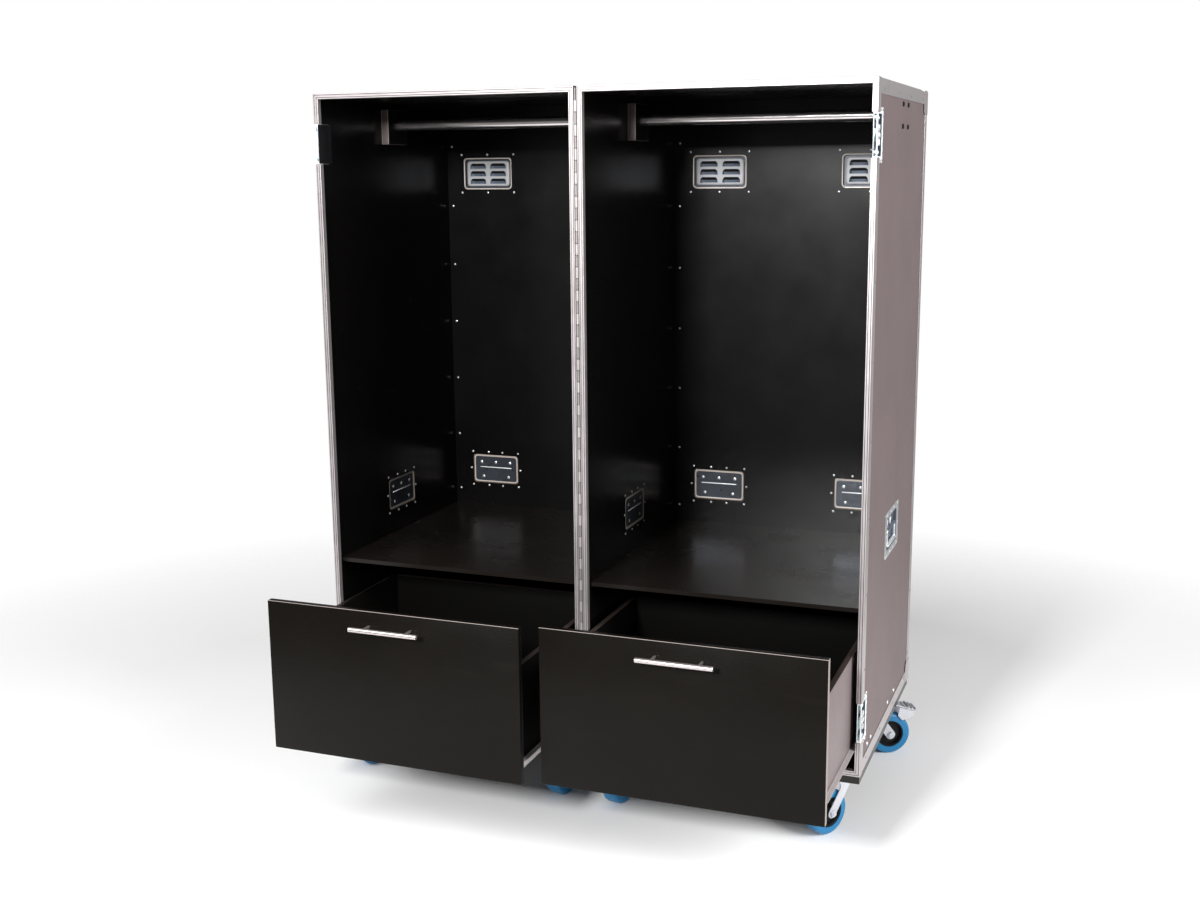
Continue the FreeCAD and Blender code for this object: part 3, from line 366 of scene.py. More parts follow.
def make_materials():
    """Makes every finish, once, under the name the builders use."""
    tones = colours()
    MATERIALS.update({
        "film": film_panel(),
        "shelf": film_board("ShelfFilm", tuple(tones.shelf), 0.26, 0.3, 0.03, 0.00015),
        "front": film_board("DrawerFront", tuple(tones.drawer), 0.36, 0.1),
        "box": film_board("DrawerBox", (0.0022, 0.0019, 0.0017), 0.6, 0.05),
        # The drawer box's light outer side is painted sheen on the same dark film.
        "box_outside_sheen": film_board("DrawerSideSheen", (0.185, 0.148, 0.15), 0.45),
        "pale_edge_and_highlight": ply_edge("PaleEdgeAndHighlight", (0.34, 0.295, 0.275), (0.23, 0.19, 0.175)),
        # Dark ply colour on the tops of the drawer sides: painted shade.
        "shaded_top_edge": ply_edge("ShadedTopEdge", (0.03, 0.022, 0.018), (0.018, 0.013, 0.011)),
        "aluminium": profile_metal(tuple(tones.aluminium)),
        "rail": plain("RailSteel", (0.74, 0.69, 0.69), 0.2, 0.95, 0.04, 20.0, depth=0.00003),
        # The hinge leaf's dark tone is painted shade for the gaps between the knuckles.
        "leaf": plain("HingeLeafShaded", (0.27, 0.25, 0.25), 0.45, 0.6),
        "knuckle": plain("HingeKnuckle", (0.44, 0.41, 0.41), 0.45, 0.6),
        "castor": plain("CastorZinc", (0.60, 0.61, 0.65), 0.35, 0.5, 0.06, 60.0),
        "stainless": plain("Stainless", (0.54, 0.485, 0.475), 0.24, 0.85, 0.04, 20.0, depth=0.00003),
        "zinc": plain("ZincSteel", tuple(tones.zinc), 0.3, 0.75, 0.08, 60.0),
        "cream": plain("RunnerSteel", (0.55, 0.50, 0.50), 0.35, 0.3, 0.06, 60.0),
        "rail_block": plain("RailBlock", (0.074, 0.056, 0.055), 0.5),
        "block_side": plain("BlockSide", (0.003, 0.0028, 0.0028), 0.6, mirror=0.1),
        "bright": plain("BrightZinc", (0.84, 0.85, 0.86), 0.25, 0.6, 0.05, 60.0),
        "white_zinc_and_highlight": plain("WhiteZincAndHighlight", (0.95, 0.96, 0.97), 0.3, 0.1, 0.03, 60.0),
        "slate": plain("SlateZincAndReflection", (0.14, 0.17, 0.22), 0.3, 0.5, 0.08, 60.0),
        # Edge and latch rivets darkened: painted shade round their heads.
        "rivet": plain("ShadedEdgeRivet", (0.30, 0.30, 0.31), 0.35, 0.7, 0.08, 60.0),
        "plate": plain("DarkZincAndShade", (0.055, 0.062, 0.075), 0.3, 0.5, 0.1, 60.0),
        "blued": plain("BluedZinc", (0.30, 0.42, 0.44), 0.25, 0.8, 0.08, 60.0),
        "cut_edge_and_highlight": plain("CutEdgeAndHighlight", (0.52, 0.46, 0.42), 0.4, 0.1, 0.05),
        "vent_zinc": plain("VentZinc", (0.38, 0.385, 0.40), 0.4, 0.1, 0.03, 60.0, mirror=0.2),
        "black": plain("BlackPartAndShade", (0.007, 0.007, 0.008), 0.45, mirror=0.2),
        "tyre": plain("BlueTyre", tuple(tones.tyre), 0.4),
    })


SLOT_FINISH = {
    "phenolic_ply": "film", "dark_ply": "shelf", "drawer_front_ply": "front", "birch_ply": "box",
    "aluminium_edge": "aluminium", "rail_steel": "rail", "stainless": "stainless", "blue_tyre": "tyre",
    "castor_zinc": "castor", "runner_steel": "cream", "zinc_steel": "zinc", "zinc_sheet": "zinc",
}


def paint_nodes():
    """Gives the frame's own pieces the finish of their slot."""
    for part in frame["record"]["subparts"]:
        obj = frame["nodes"][part["node"]]
        for slot in obj.material_slots:
            slot.material = MATERIALS[SLOT_FINISH[part["material_slot"]]]


# ---- the trunk's measures, in millimetres

# Planes round a half of the case, and the middle of its depth.
FRONT, REAR = -150.1, 477.9
LOW, TOP = 164.0, 1564.0
HINGE, OUTER = 3.0, 613.0
MIDDLE = 163.9
# Thickness of panels and of the metal over them, and the width of an edge angle.
PLY, SHEET, LEG = 9.0, 1.5, 30.0
# The panels' outer and inner faces.
HINGE_FACE, OUTER_FACE, BACK_FACE = HINGE + SHEET, OUTER - SHEET, REAR - SHEET
HINGE_WALL, OUTER_WALL, BACK_WALL = HINGE_FACE + PLY, OUTER_FACE - PLY, BACK_FACE - PLY
# Latch levels, and half the gap that a latch leaves in the closing profile.
LATCHES = {"lower": 281.0, "upper": 1457.0}
LATCH_GAP = 43.0
HANDLE_Z, HANDLE_XS = 616.0, {"outer": 486.0, "inner": 130.0}
VENT_Z, VENT_XS = 1388.5, (489.5, 126.5)
RAIL_Y, RAIL_Z = 173.9, 1504.0
# How far the drawer fronts stand out, and limits that tell faces of the drawers apart.
OUT = {"right": 274.0, "left": 294.0}
DRAWER_SIDE, DRAWER_SIDE_TOP, FRONT_END = 589.0, 400.0, 560.0
BAR_Z, BAR_ENDS, BAR_POSTS, BAR_DEPTH = 475.0, (230.0, 386.0), (260.0, 356.0), 29.0
# Swivel centres of the castors, the wheels' radius, and how far a wheel trails its swivel.
CASTORS = {"front": -50.1, "rear": 377.9}
ACROSS = {"outer": 547.0, "inner": 69.0}
WHEEL, TRAIL = 50.0, 38.0


# ---- mesh building

def place_object(name, data):
    """A new object in the scene."""
    obj = bpy.data.objects.new(name, data)
    bpy.context.collection.objects.link(obj)
    return obj


def to_mesh(name, bm):
    """Turns a bmesh into a mesh and frees it."""
    mesh = bpy.data.meshes.new(name)
    bm.to_mesh(mesh)
    bm.free()
    return mesh


def in_metres(bm):
    """Scales a mesh built in millimetres and turns its faces outwards."""
    bmesh.ops.scale(bm, vec=(MM, MM, MM), verts=bm.verts)
    bmesh.ops.recalc_face_normals(bm, faces=bm.faces)


def bevel(bm, geometry, offset, segments, **settings):
    """Rounds edges, or corners with affect="VERTICES"."""
    settings = {"affect": "EDGES", **settings}
    bmesh.ops.bevel(bm, geom=geometry, offset=offset, segments=segments, profile=0.5, **settings)


def rounded_rectangle(width, height, radius, steps=5):
    """Corner points of a rounded rectangle round the origin, anticlockwise."""
    points = []
    for quarter, (sx, sy) in enumerate(((1, 1), (-1, 1), (-1, -1), (1, -1))):
        centre = (sx * (width / 2 - radius), sy * (height / 2 - radius))
        for step in range(steps + 1):
            angle = math.pi / 2 * (quarter + step / steps)
            points.append((centre[0] + radius * math.cos(angle),
                           centre[1] + radius * math.sin(angle)))
    return points


class Piece:
    """The mesh of one piece, gathered in millimetres; `place` moves what is added next."""

    def __init__(self):
        self.bm = bmesh.new()
        self.place = Matrix()
        self.tone = 0

    def loft(self, loops, caps=True, ring=False):
        """Faces between point loops of one length; `ring` joins the last loop to the first."""
        rows = [[self.bm.verts.new(self.place @ Vector(point)) for point in loop] for loop in loops]
        made = []
        count = len(rows[0])
        pairs = list(zip(rows, rows[1:])) + ([(rows[-1], rows[0])] if ring else [])
        for low, high in pairs:
            for at in range(count):
                after = (at + 1) % count
                made.append(self.bm.faces.new((low[at], low[after], high[after], high[at])))
        if caps and not ring:
            made.append(self.bm.faces.new(rows[0]))
            made.append(self.bm.faces.new(rows[-1]))
        for face in made:
            face.material_index = self.tone
        return made

    def lathe(self, profile, axis="z", at=(0, 0, 0), segments=32, ring=False):
        """A profile of radius, height pairs turned about an axis; `ring` closes it on itself."""
        order = {"x": (1, 2, 0), "y": (2, 0, 1), "z": (0, 1, 2)}[axis]
        loops = []
        for radius, height in profile:
            loop = []
            for step in range(segments):
                angle = 2 * math.pi * step / segments
                flat = (radius * math.cos(angle), radius * math.sin(angle), height)
                point = [0.0, 0.0, 0.0]
                for source, target in enumerate(order):
                    point[target] = flat[source] + at[target]
                loop.append(point)
            loops.append(loop)
        return self.loft(loops, ring=ring)

    def block(self, low, high, soft=0.6, steps=2):
        """A box with softened edges."""
        middle = (Vector(low) + Vector(high)) / 2
        size = Vector(high) - Vector(low)
        matrix = self.place @ Matrix.Translation(middle) @ Matrix.Diagonal((*size, 1))
        made = bmesh.ops.create_cube(self.bm, size=1, matrix=matrix)["verts"]
        faces = {face for vert in made for face in vert.link_faces}
        for face in faces:
            face.material_index = self.tone
        if soft:
            edges = list({edge for vert in made for edge in vert.link_edges})
            bevel(self.bm, edges, soft, steps, clamp_overlap=True, material=-1)

    def slab(self, outline, low, high, soft=0.5, axis="y"):
        """A flat outline of points given a thickness along y or z, with softened rims."""
        inner = inset(outline, soft)
        levels = ((inner, low), (outline, low + soft), (outline, high - soft), (inner, high))
        self.loft([[(a, level, b) if axis == "y" else (a, b, level) for a, b in points]
                   for points, level in levels])

    def pressing(self, rings, closed=False):
        """Nested rounded rectangles of width, height, radius, depth and tone, as one sheet."""
        loops = [[(x, depth, z) for x, z in rounded_rectangle(width, height, radius)]
                 for width, height, radius, depth, tone in rings]
        made = self.loft(loops, ring=closed)
        for number, face in enumerate(made):
            face.material_index = rings[min(number // len(loops[0]), len(rings) - 1)][4]
        if not closed:
            made[-2].material_index = rings[0][4]

    def tube(self, path, radius, closed=False, segments=14, normal=(0, 1, 0)):
        """A round bar along a flat path whose plane has that normal."""
        normal = Vector(normal)
        points = [Vector(point) for point in path]
        loops = []
        for number, point in enumerate(points):
            before = points[number - 1] if number or closed else point
            last = number + 1 == len(points) and not closed
            after = point if last else points[(number + 1) % len(points)]
            side = (after - before).normalized().cross(normal)
            loops.append([point + radius * (math.cos(turn) * normal + math.sin(turn) * side)
                          for turn in (2 * math.pi * step / segments for step in range(segments))])
        self.loft(loops, caps=not closed, ring=closed)

    def done(self, name, body, slot, *finishes, side="right", replaced=(), smooth=35):
        """Turns the gathered mesh into an object on its body."""
        if side == "left":
            bmesh.ops.transform(self.bm, matrix=Matrix.Diagonal((-1, 1, 1, 1)), verts=self.bm.verts)
        in_metres(self.bm)
        settle(name, to_mesh(name, self.bm), body, finishes, replaced, smooth)


def inset(outline, amount):
    """The outline moved inwards by an amount, for convex and gently hollow shapes."""
    moved = []
    count = len(outline)
    area = sum(a[0] * b[1] - b[0] * a[1] for a, b in zip(outline, outline[1:] + outline[:1]))
    sign = 1 if area > 0 else -1
    for number, (x, y) in enumerate(outline):
        before, after = Vector(outline[number - 1]), Vector(outline[(number + 1) % count])
        one = (Vector((x, y)) - before).normalized()
        two = (after - Vector((x, y))).normalized()
        way = Vector((-one.y - two.y, one.x + two.x)) * sign
        way = way.normalized() if way.length else Vector((0, 0))
        spread = max(0.35, way.dot(Vector((-two.y, two.x)) * sign))
        moved.append((x + way.x * amount / spread, y + way.y * amount / spread))
    return moved


def settle(name, mesh, body, finishes, replaced=(), smooth=35):
    """Makes a finished object of a mesh, on its body and in place of the CAD nodes it replaces."""
    for finish in finishes:
        mesh.materials.append(MATERIALS[finish])
    mesh.shade_smooth()
    mesh.set_sharp_from_angle(angle=math.radians(smooth))
    obj = place_object(name, mesh)
    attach(obj, body)
    if replaced:
        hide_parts(*replaced)


def softened(node, body, slot, *finishes, width, tone=lambda at, normal: 0):
    """A copy of a CAD node with its loose triangles merged and its edges softened."""
    bm = bmesh.new()
    bm.from_mesh(frame["nodes"][node].data)
    bmesh.ops.remove_doubles(bm, verts=bm.verts, dist=1e-6)
    bmesh.ops.dissolve_limit(bm, angle_limit=math.radians(1), verts=bm.verts, edges=bm.edges)
    bmesh.ops.recalc_face_normals(bm, faces=bm.faces)
    edges = [edge for edge in bm.edges
             if len(edge.link_faces) == 2 and edge.calc_face_angle(0) > math.radians(35)]
    bevel(bm, edges, width * MM, 2, clamp_overlap=True)
    for face in bm.faces:
        face.material_index = tone(face.calc_center_median() / MM, face.normal)
    settle(f"{node}_soft", to_mesh(f"{node}_soft", bm), body, finishes, (node,))


# ---- repeated shapes

def repeat_tree():
    """Puts a shape on every point, its z along "facing" and its y along "upward", as one mesh."""
    tree = bpy.data.node_groups.new("Repeat", "GeometryNodeTree")
    sockets = {}
    for name, kind in (("Geometry", "Geometry"), ("Shape", "Object"), ("Finish", "Material"),
                       ("Size spread", "Float"), ("Seed", "Int")):
        made = tree.interface.new_socket(name, in_out="INPUT", socket_type=f"NodeSocket{kind}")
        sockets[name] = made.identifier
    tree.interface.new_socket("Geometry", in_out="OUTPUT", socket_type="NodeSocketGeometry")

    def node(kind, **settings):
        made = tree.nodes.new(kind)
        for name, value in settings.items():
            setattr(made, name, value)
        return made

    def link(source, output, target, entry):
        tree.links.new(source.outputs[output], target.inputs[entry])

    entry, leave = node("NodeGroupInput"), node("NodeGroupOutput")
    info = node("GeometryNodeObjectInfo", transform_space="ORIGINAL")
    link(entry, "Shape", info, "Object")
    turns = None
    for name, axis, pivot in (("facing", "Z", "AUTO"), ("upward", "Y", "Z")):
        read = node("GeometryNodeInputNamedAttribute", data_type="FLOAT_VECTOR")
        read.inputs["Name"].default_value = name
        align = node("FunctionNodeAlignRotationToVector", axis=axis, pivot_axis=pivot)
        link(read, "Attribute", align, "Vector")
        if turns:
            link(turns, "Rotation", align, "Rotation")
        turns = align
    chance = node("FunctionNodeRandomValue", data_type="FLOAT")
    for operation, limit in (("SUBTRACT", "Min_001"), ("ADD", "Max_001")):
        bound = node("ShaderNodeMath", operation=operation)
        bound.inputs[0].default_value = 1.0
        link(entry, "Size spread", bound, 1)
        tree.links.new(bound.outputs[0], next(s for s in chance.inputs if s.identifier == limit))
    link(entry, "Seed", chance, "Seed")
    put = node("GeometryNodeInstanceOnPoints")
    link(entry, "Geometry", put, "Points")
    link(info, "Geometry", put, "Instance")
    link(turns, "Rotation", put, "Rotation")
    tree.links.new(next(s for s in chance.outputs if s.identifier == "Value_001"), put.inputs["Scale"])
    real = node("GeometryNodeRealizeInstances")
    link(put, "Instances", real, "Geometry")
    dress = node("GeometryNodeSetMaterial")
    link(real, "Geometry", dress, "Geometry")
    link(entry, "Finish", dress, "Material")
    link(dress, "Geometry", leave, "Geometry")
    return tree, sockets


REPEAT = {}


def repeated(name, shape, places, body, finish, side="right", spread=0.02, seed=1):
    """One object with the shape at every place: a point in millimetres, facing and upward ways."""
    if not REPEAT:
        REPEAT["tree"], REPEAT["sockets"] = repeat_tree()
    flip = Vector((-1, 1, 1)) if side == "left" else Vector((1, 1, 1))
    points = bpy.data.meshes.new(f"{name}_points")
    points.from_pydata([Vector(place[0]) * flip * MM for place in places], [], [])
    for label, column in (("facing", 1), ("upward", 2)):
        field = points.attributes.new(label, "FLOAT_VECTOR", "POINT")
        for number, place in enumerate(places):
            field.data[number].vector = Vector(place[column]) * flip
    holder = place_object(f"{name}_points", points)
    in_metres(shape.bm)
    model = place_object(f"{name}_shape", to_mesh(f"{name}_shape", shape.bm))
    modifier = holder.modifiers.new("Repeat", "NODES")
    modifier.node_group = REPEAT["tree"]
    for label, value in (("Shape", model), ("Finish", MATERIALS[finish]), ("Size spread", spread),
                         ("Seed", seed)):
        modifier[REPEAT["sockets"][label]] = value
    graph = bpy.context.evaluated_depsgraph_get()
    mesh = bpy.data.meshes.new_from_object(holder.evaluated_get(graph), depsgraph=graph)
    mesh.name = name
    for scrap in (holder, model):
        bpy.data.objects.remove(scrap)
    mesh.materials.clear()
    settle(name, mesh, body, (finish,))


def dome(radius, height):
    """The head of a rivet."""
    shape = Piece()
    shape.lathe([(radius, -0.4), (radius, 0.1 * height), (0.86 * radius, 0.55 * height),
                 (0.5 * radius, 0.92 * height), (0.12 * radius, height)], segments=12)
    return shape


def screw(radius, height):
    """The head of a screw, with its recess."""
    shape = Piece()
    shape.lathe([(radius, -0.4), (radius, 0.5 * height), (0.8 * radius, height),
                 (0.42 * radius, height), (0.3 * radius, 0.2 * height)], segments=12)
    return shape


def spaced(start, end, pitch):
    """Evenly spaced levels from start to end, about a pitch apart."""
    count = max(1, round((end - start) / pitch))
    return [start + (end - start) * step / count for step in range(count + 1)]


# ---- edging

# Sections, from the outer corner inwards: the closing profile as across, depth; the edge angle.
PROFILE = [(0.0, 27.0), (0.0, 0.9), (0.3, 0.3), (0.9, 0.0), (2.5, 0.0), (2.7, 1.1), (3.9, 1.1),
           (4.1, 0.0), (5.6, 0.0), (5.7, 0.5), (6.3, 0.5), (6.4, 0.0), (7.9, 0.0), (8.1, 1.1),
           (9.3, 1.1), (9.5, 0.0), (11.1, 0.0), (11.7, 0.3), (12.0, 0.9), (12.0, 12.0), (10.5, 12.0),
           (10.5, 3.0), (1.5, 3.0), (1.5, 27.0)]
ANGLE = [(0.0, 29.6), (0.0, 3.2), (0.25, 1.9), (0.95, 0.95), (1.9, 0.25), (3.2, 0.0), (29.6, 0.0),
         (30.0, 0.4), (30.0, 1.1), (29.6, 1.5), (3.4, 1.5), (1.9, 1.9), (1.5, 3.4), (1.5, 29.6),
         (1.1, 30.0), (0.4, 30.0)]
X_EDGES, Z_EDGES = ((HINGE, 1), (OUTER, -1)), ((LOW, 1), (TOP, -1))


def closing_frame(side):
    """The closing profile round the open front, mitred at the corners and parted at the latches."""
    piece = Piece()
    mitre = 0.2
    x_run, z_run = (HINGE, OUTER), (LOW, TOP)

    def run(axis, far, start, end, square=(False, False)):
        """One length of the profile against an outer plane, from start to end."""
        loops = []
        for which, stop in enumerate((start, end)):
            loop = []
            for across, depth in PROFILE:
                slide = 0 if square[which] else across + mitre
                along = stop + slide if which == 0 else stop - slide
                edge = (x_run if axis == "z" else z_run)[far]
                inner = edge - across if far else edge + across
                x, z = (inner, along) if axis == "z" else (along, inner)
                loop.append((x, FRONT + depth, z))
            loops.append(loop)
        piece.loft(loops)

    run("x", 0, HINGE, OUTER)
    run("x", 1, HINGE, OUTER)
    run("z", 0, LOW, TOP)
    gaps = [level + way * LATCH_GAP for level in LATCHES.values() for way in (-1, 1)]
    stops = [LOW, *gaps, TOP]
    pairs = list(zip(stops[::2], stops[1::2]))
    for number, (start, end) in enumerate(pairs):
        run("z", 1, start, end, (number > 0, number < len(pairs) - 1))
    piece.done(f"closing_profile_{side}", f"{side}_case", "aluminium_edge", "aluminium", side=side,
               replaced=(f"closing_frame_{side}",), smooth=25)


def edge_angles(side):
    """The aluminium angles along the depth, up the back and across it, with the corner caps."""
    piece = Piece()

    def angle(make):
        piece.loft([[make(u, v, end) for u, v in ANGLE] for end in (0, 1)])

    short = LEG + 0.2
    ends = {"x": (HINGE, OUTER), "y": (FRONT + PROFILE[0][1] + 0.2, REAR - short),
            "z": (LOW + short, TOP - short)}
    for x_edge, x_way in X_EDGES:
        angle(lambda u, v, end: (x_edge + x_way * u, REAR - v, ends["z"][end]))
        for z_edge, z_way in Z_EDGES:
            angle(lambda u, v, end: (x_edge + x_way * u, ends["y"][end], z_edge + z_way * v))
    for z_edge, z_way in Z_EDGES:
        angle(lambda u, v, end: (ends["x"][end], REAR - u, z_edge + z_way * v))
    corner_caps(piece)
    piece.done(f"edge_angle_set_{side}", f"{side}_case", "aluminium_edge", "aluminium", side=side,
               replaced=(f"edge_angles_{side}",), smooth=30)


def corner_caps(piece):
    """Four bent caps with rounded bends and legs over the rear corners."""
    reach, thick, round_end = 52.0, 1.2, 15.0
    for (x_edge, x_way), (z_edge, z_way) in itertools.product(X_EDGES, Z_EDGES):
        corner = Vector((x_edge, REAR, z_edge))
        ways = Vector((x_way, -1, z_way))
        low = Vector([at - way * thick for at, way in zip(corner, ways)])
        high = Vector([at + way * reach for at, way in zip(corner, ways)])
        if z_way > 0:
            low.z = z_edge
        bm = bmesh.new()
        middle, size = (low + high) / 2, high - low
        matrix = Matrix.Translation(middle) @ Matrix.Diagonal((*map(abs, size), 1))
        bmesh.ops.create_cube(bm, size=1, matrix=matrix)
        open_sides = [face for face in bm.faces
                      if (face.calc_center_median() - middle).dot(ways) > 0
                      or z_way > 0 and face.normal.z < -0.5]
        bmesh.ops.delete(bm, geom=open_sides, context="FACES")
        for face in bm.faces:
            if face.normal.dot(face.calc_center_median() - middle) < 0:
                face.normal_flip()
        tips = [vert for vert in bm.verts if len(vert.link_faces) == 1]
        bevel(bm, tips, round_end, 5, affect="VERTICES")
        folds = [edge for edge in bm.edges if len(edge.link_faces) == 2]
        bevel(bm, folds, size_of("cap_bend"), 4)
        bmesh.ops.solidify(bm, geom=bm.faces[:], thickness=thick)
        piece.bm.from_mesh(to_mesh("Cap", bm))


# ---- piano hinge

def hinge(side):
    """A leaf with every second knuckle; the left one holds the pin."""
    piece = Piece()
    low, high = LOW + 4, TOP - 4
    piece.block((1.5, FRONT + 3.2, low), (HINGE, FRONT + 25, high), 0.3)
    if side == "left":
        piece.lathe([(1.4, low), (1.4, high)], at=(0, FRONT, 0), segments=16)
    piece.done(f"hinge_leaf_soft_{side}", f"{side}_case", "zinc_sheet", "leaf", side=side,
               replaced=(f"hinge_leaf_{side}",))
    pitch = size_of("knuckle_pitch")
    half = pitch / 2 - 0.7
    shape = Piece()
    shape.lathe([(1.9, -half), (2.7, 0.6 - half), (2.7, half - 0.6), (1.9, half)], segments=14)
    shape.block((0.0, 0.4, 0.3 - half), (2.9, 3.6, half - 0.3), 0.3, 1)
    # The left half's knuckles take the dark leaf finish: painted shade between the right half's lighter
    # knuckles.
    first, facing, finish = {"right": (0, 1, "knuckle"), "left": (1, -1, "leaf")}[side]
    places = [((0, FRONT, low + pitch * (number + 0.5)), (0, 0, facing), (0, 1, 0))
              for number in range(first, int((high - low) / pitch), 2)]
    repeated(f"hinge_knuckles_{side}", shape, places, f"{side}_case", finish, side=side,
             spread=0.0)


# ---- rails

def clothes_rail(side):
    """The tube and its two wooden blocks."""
    piece = Piece()
    piece.lathe([(11.0, HINGE_WALL), (12.2, HINGE_WALL), (12.5, HINGE_WALL + 0.4),
                 (12.5, OUTER_WALL - 0.4), (12.2, OUTER_WALL), (11.0, OUTER_WALL)],
                axis="x", at=(0, RAIL_Y, RAIL_Z), segments=40)
    piece.done(f"rail_tube_{side}", f"{side}_case", "rail_steel", "rail", side=side,
               replaced=(f"clothes_rail_{side}",))
    blocks = Piece()
    for low, high in ((HINGE_WALL, HINGE_WALL + 18), (OUTER_WALL - 18, OUTER_WALL)):
        blocks.block((low, RAIL_Y - 45, RAIL_Z - 45), (high, RAIL_Y + 45, RAIL_Z + 35), 1.2)
    blocks.bm.normal_update()
    for face in blocks.bm.faces:
        flat = max(abs(part) for part in face.normal)
        edge = flat < 0.99 and abs(face.normal.z) < 0.3
        face.material_index = 1 if abs(face.normal.x) > 0.99 else 2 if edge else 0
    blocks.done(f"rail_blocks_{side}", f"{side}_case", "rail_steel", "rail_block", "block_side",
                "pale_edge_and_highlight", side=side)


# ---- recessed fittings

def turned(x, y, z, turn=0):
    """A place turned by degrees about the upright axis; a fitting's y points out of its wall."""
    return Matrix.Translation((x, y, z)) @ Matrix.Rotation(math.radians(turn), 4, "Z")


HANDLES = {
    "outer": turned(OUTER_FACE, MIDDLE, HANDLE_Z, -90),
    "hinge": turned(HINGE_FACE, MIDDLE, HANDLE_Z, 90),
    **{f"back_{name}": turned(x, BACK_FACE, HANDLE_Z) for name, x in HANDLE_XS.items()},
}
VENTS = [turned(x, BACK_FACE, VENT_Z) for x in VENT_XS]
CATCHES = {name: turned(OUTER_FACE, FRONT, level, -90) for name, level in LATCHES.items()}

# Places in the list of finishes that recessed() gives to the pressed fittings.
ZINC, WHITE_AND_HIGHLIGHT, DARK_ZINC_AND_SHADE, BLUED, CUT_EDGE_AND_HIGHLIGHT, BLACK_AND_SHADE, SLATE_AND_REFLECTION, VENT = range(8)
DISH_RIVETS = [(x, z) for x in (-65.5, -20, 20, 65.5) for z in (-45, 45)] + [(-71, 0), (71, 0)]
VENT_RIVETS = [(x, z) for x in (-72.7, 0, 72.7) for z in (-47.5, 47.5)]


def window_edge(piece, width, height):
    """The pale edge of a cut-out, seen from inside the case."""
    rings = ((0.2, 9.9, -6.0), (0.2, 9.9, -8.8), (1.6, 9.4, -9.2), (5.2, 8, -9.0), (6.2, 7.6, -8.2),
             (6.2, 7.6, -6.0))
    piece.pressing([(width - less, height - less, radius, depth, CUT_EDGE_AND_HIGHLIGHT)
                    for less, radius, depth in rings], closed=True)


def handle_dish(piece):
    """A pressed dish with its rim, the barrel of the bail and the two straps that hold it; the rim's
    pale colour is a painted highlight, the dark walls of the hollow are painted shade, and a white bar
    across the back is a painted highlight on the straps' fold.
    """
    # Pale rim rings are a painted highlight; the dark walls of the hollow are painted shade.
    piece.pressing([
        (116, 63, 6, -7.9, DARK_ZINC_AND_SHADE), (118.4, 65.4, 7, -8.0, CUT_EDGE_AND_HIGHLIGHT), (120.6, 67.6, 7.6, -8.5, CUT_EDGE_AND_HIGHLIGHT),
        (124.2, 71.2, 8, -8.4, CUT_EDGE_AND_HIGHLIGHT), (126.0, 73.0, 8.2, -7.4, CUT_EDGE_AND_HIGHLIGHT), (126.8, 73.8, 8.4, -5.0, ZINC),
        (127.0, 74.0, 8.4, 0.0, ZINC), (164.6, 102.6, 8, 0.0, ZINC), (165.0, 103.0, 8, 0.4, ZINC),
        (164.6, 102.6, 8, 1.0, ZINC), (163.8, 101.8, 7.6, 1.2, ZINC), (128.4, 75.4, 8.6, 1.2, ZINC),
        (126.0, 73.0, 7.8, 0.5, SLATE_AND_REFLECTION), (124.4, 71.4, 7, -0.8, DARK_ZINC_AND_SHADE), (118.4, 65.4, 5, -6.4, SLATE_AND_REFLECTION),
        (116.4, 63.4, 4.4, -6.9, SLATE_AND_REFLECTION)])
    piece.tone = SLATE_AND_REFLECTION
    piece.block((-43, -7.0, 1.4), (43, -6.3, 10.6), 0.3)
    piece.tube([(-43, -2.2, 6), (43, -2.2, 6)], 4.6, segments=16)
    piece.tone = WHITE_AND_HIGHLIGHT
    for x in (-20, 20):
        piece.block((x - 9, -7.0, 8), (x + 9, -5.9, 22), 0.4)
    # A white bar across the back: painted highlight on the straps' fold.
    piece.block((-45, -9.2, 3.0), (45, -7.7, 5.2), 0.6)


def bail(name, side):
    """A wire loop with a thicker grip; the one on the hinge side is fixed and replaces no node."""
    piece = Piece()
    piece.place = HANDLES[name]
    depth, width, low, high = -2.2, 96.0, -28.0, 6.0
    path = [Vector((x, depth, z + (low + high) / 2))
            for x, z in rounded_rectangle(width, high - low, 5.0, 4)]
    dense = []
    for start, end in zip(path, path[1:] + path[:1]):
        steps = 12 if (end - start).length > 60 else 1
        dense += [start.lerp(end, step / steps) for step in range(steps)]
    piece.tube(dense, 3.0, closed=True)
    piece.lathe([(3.2, -39), (4.4, -38.6), (4.7, -37.6), (4.7, 37.6), (4.4, 38.6), (3.2, 39)], axis="x",
                at=(0, depth, low), segments=20)
    swings = name != "hinge"
    node = f"bail_{name}_{side}"
    piece.done(f"bail_loop_{name}_{side}", node if swings else f"{side}_case", "zinc_steel", "bright",
               side=side, replaced=(node,) if swings else ())


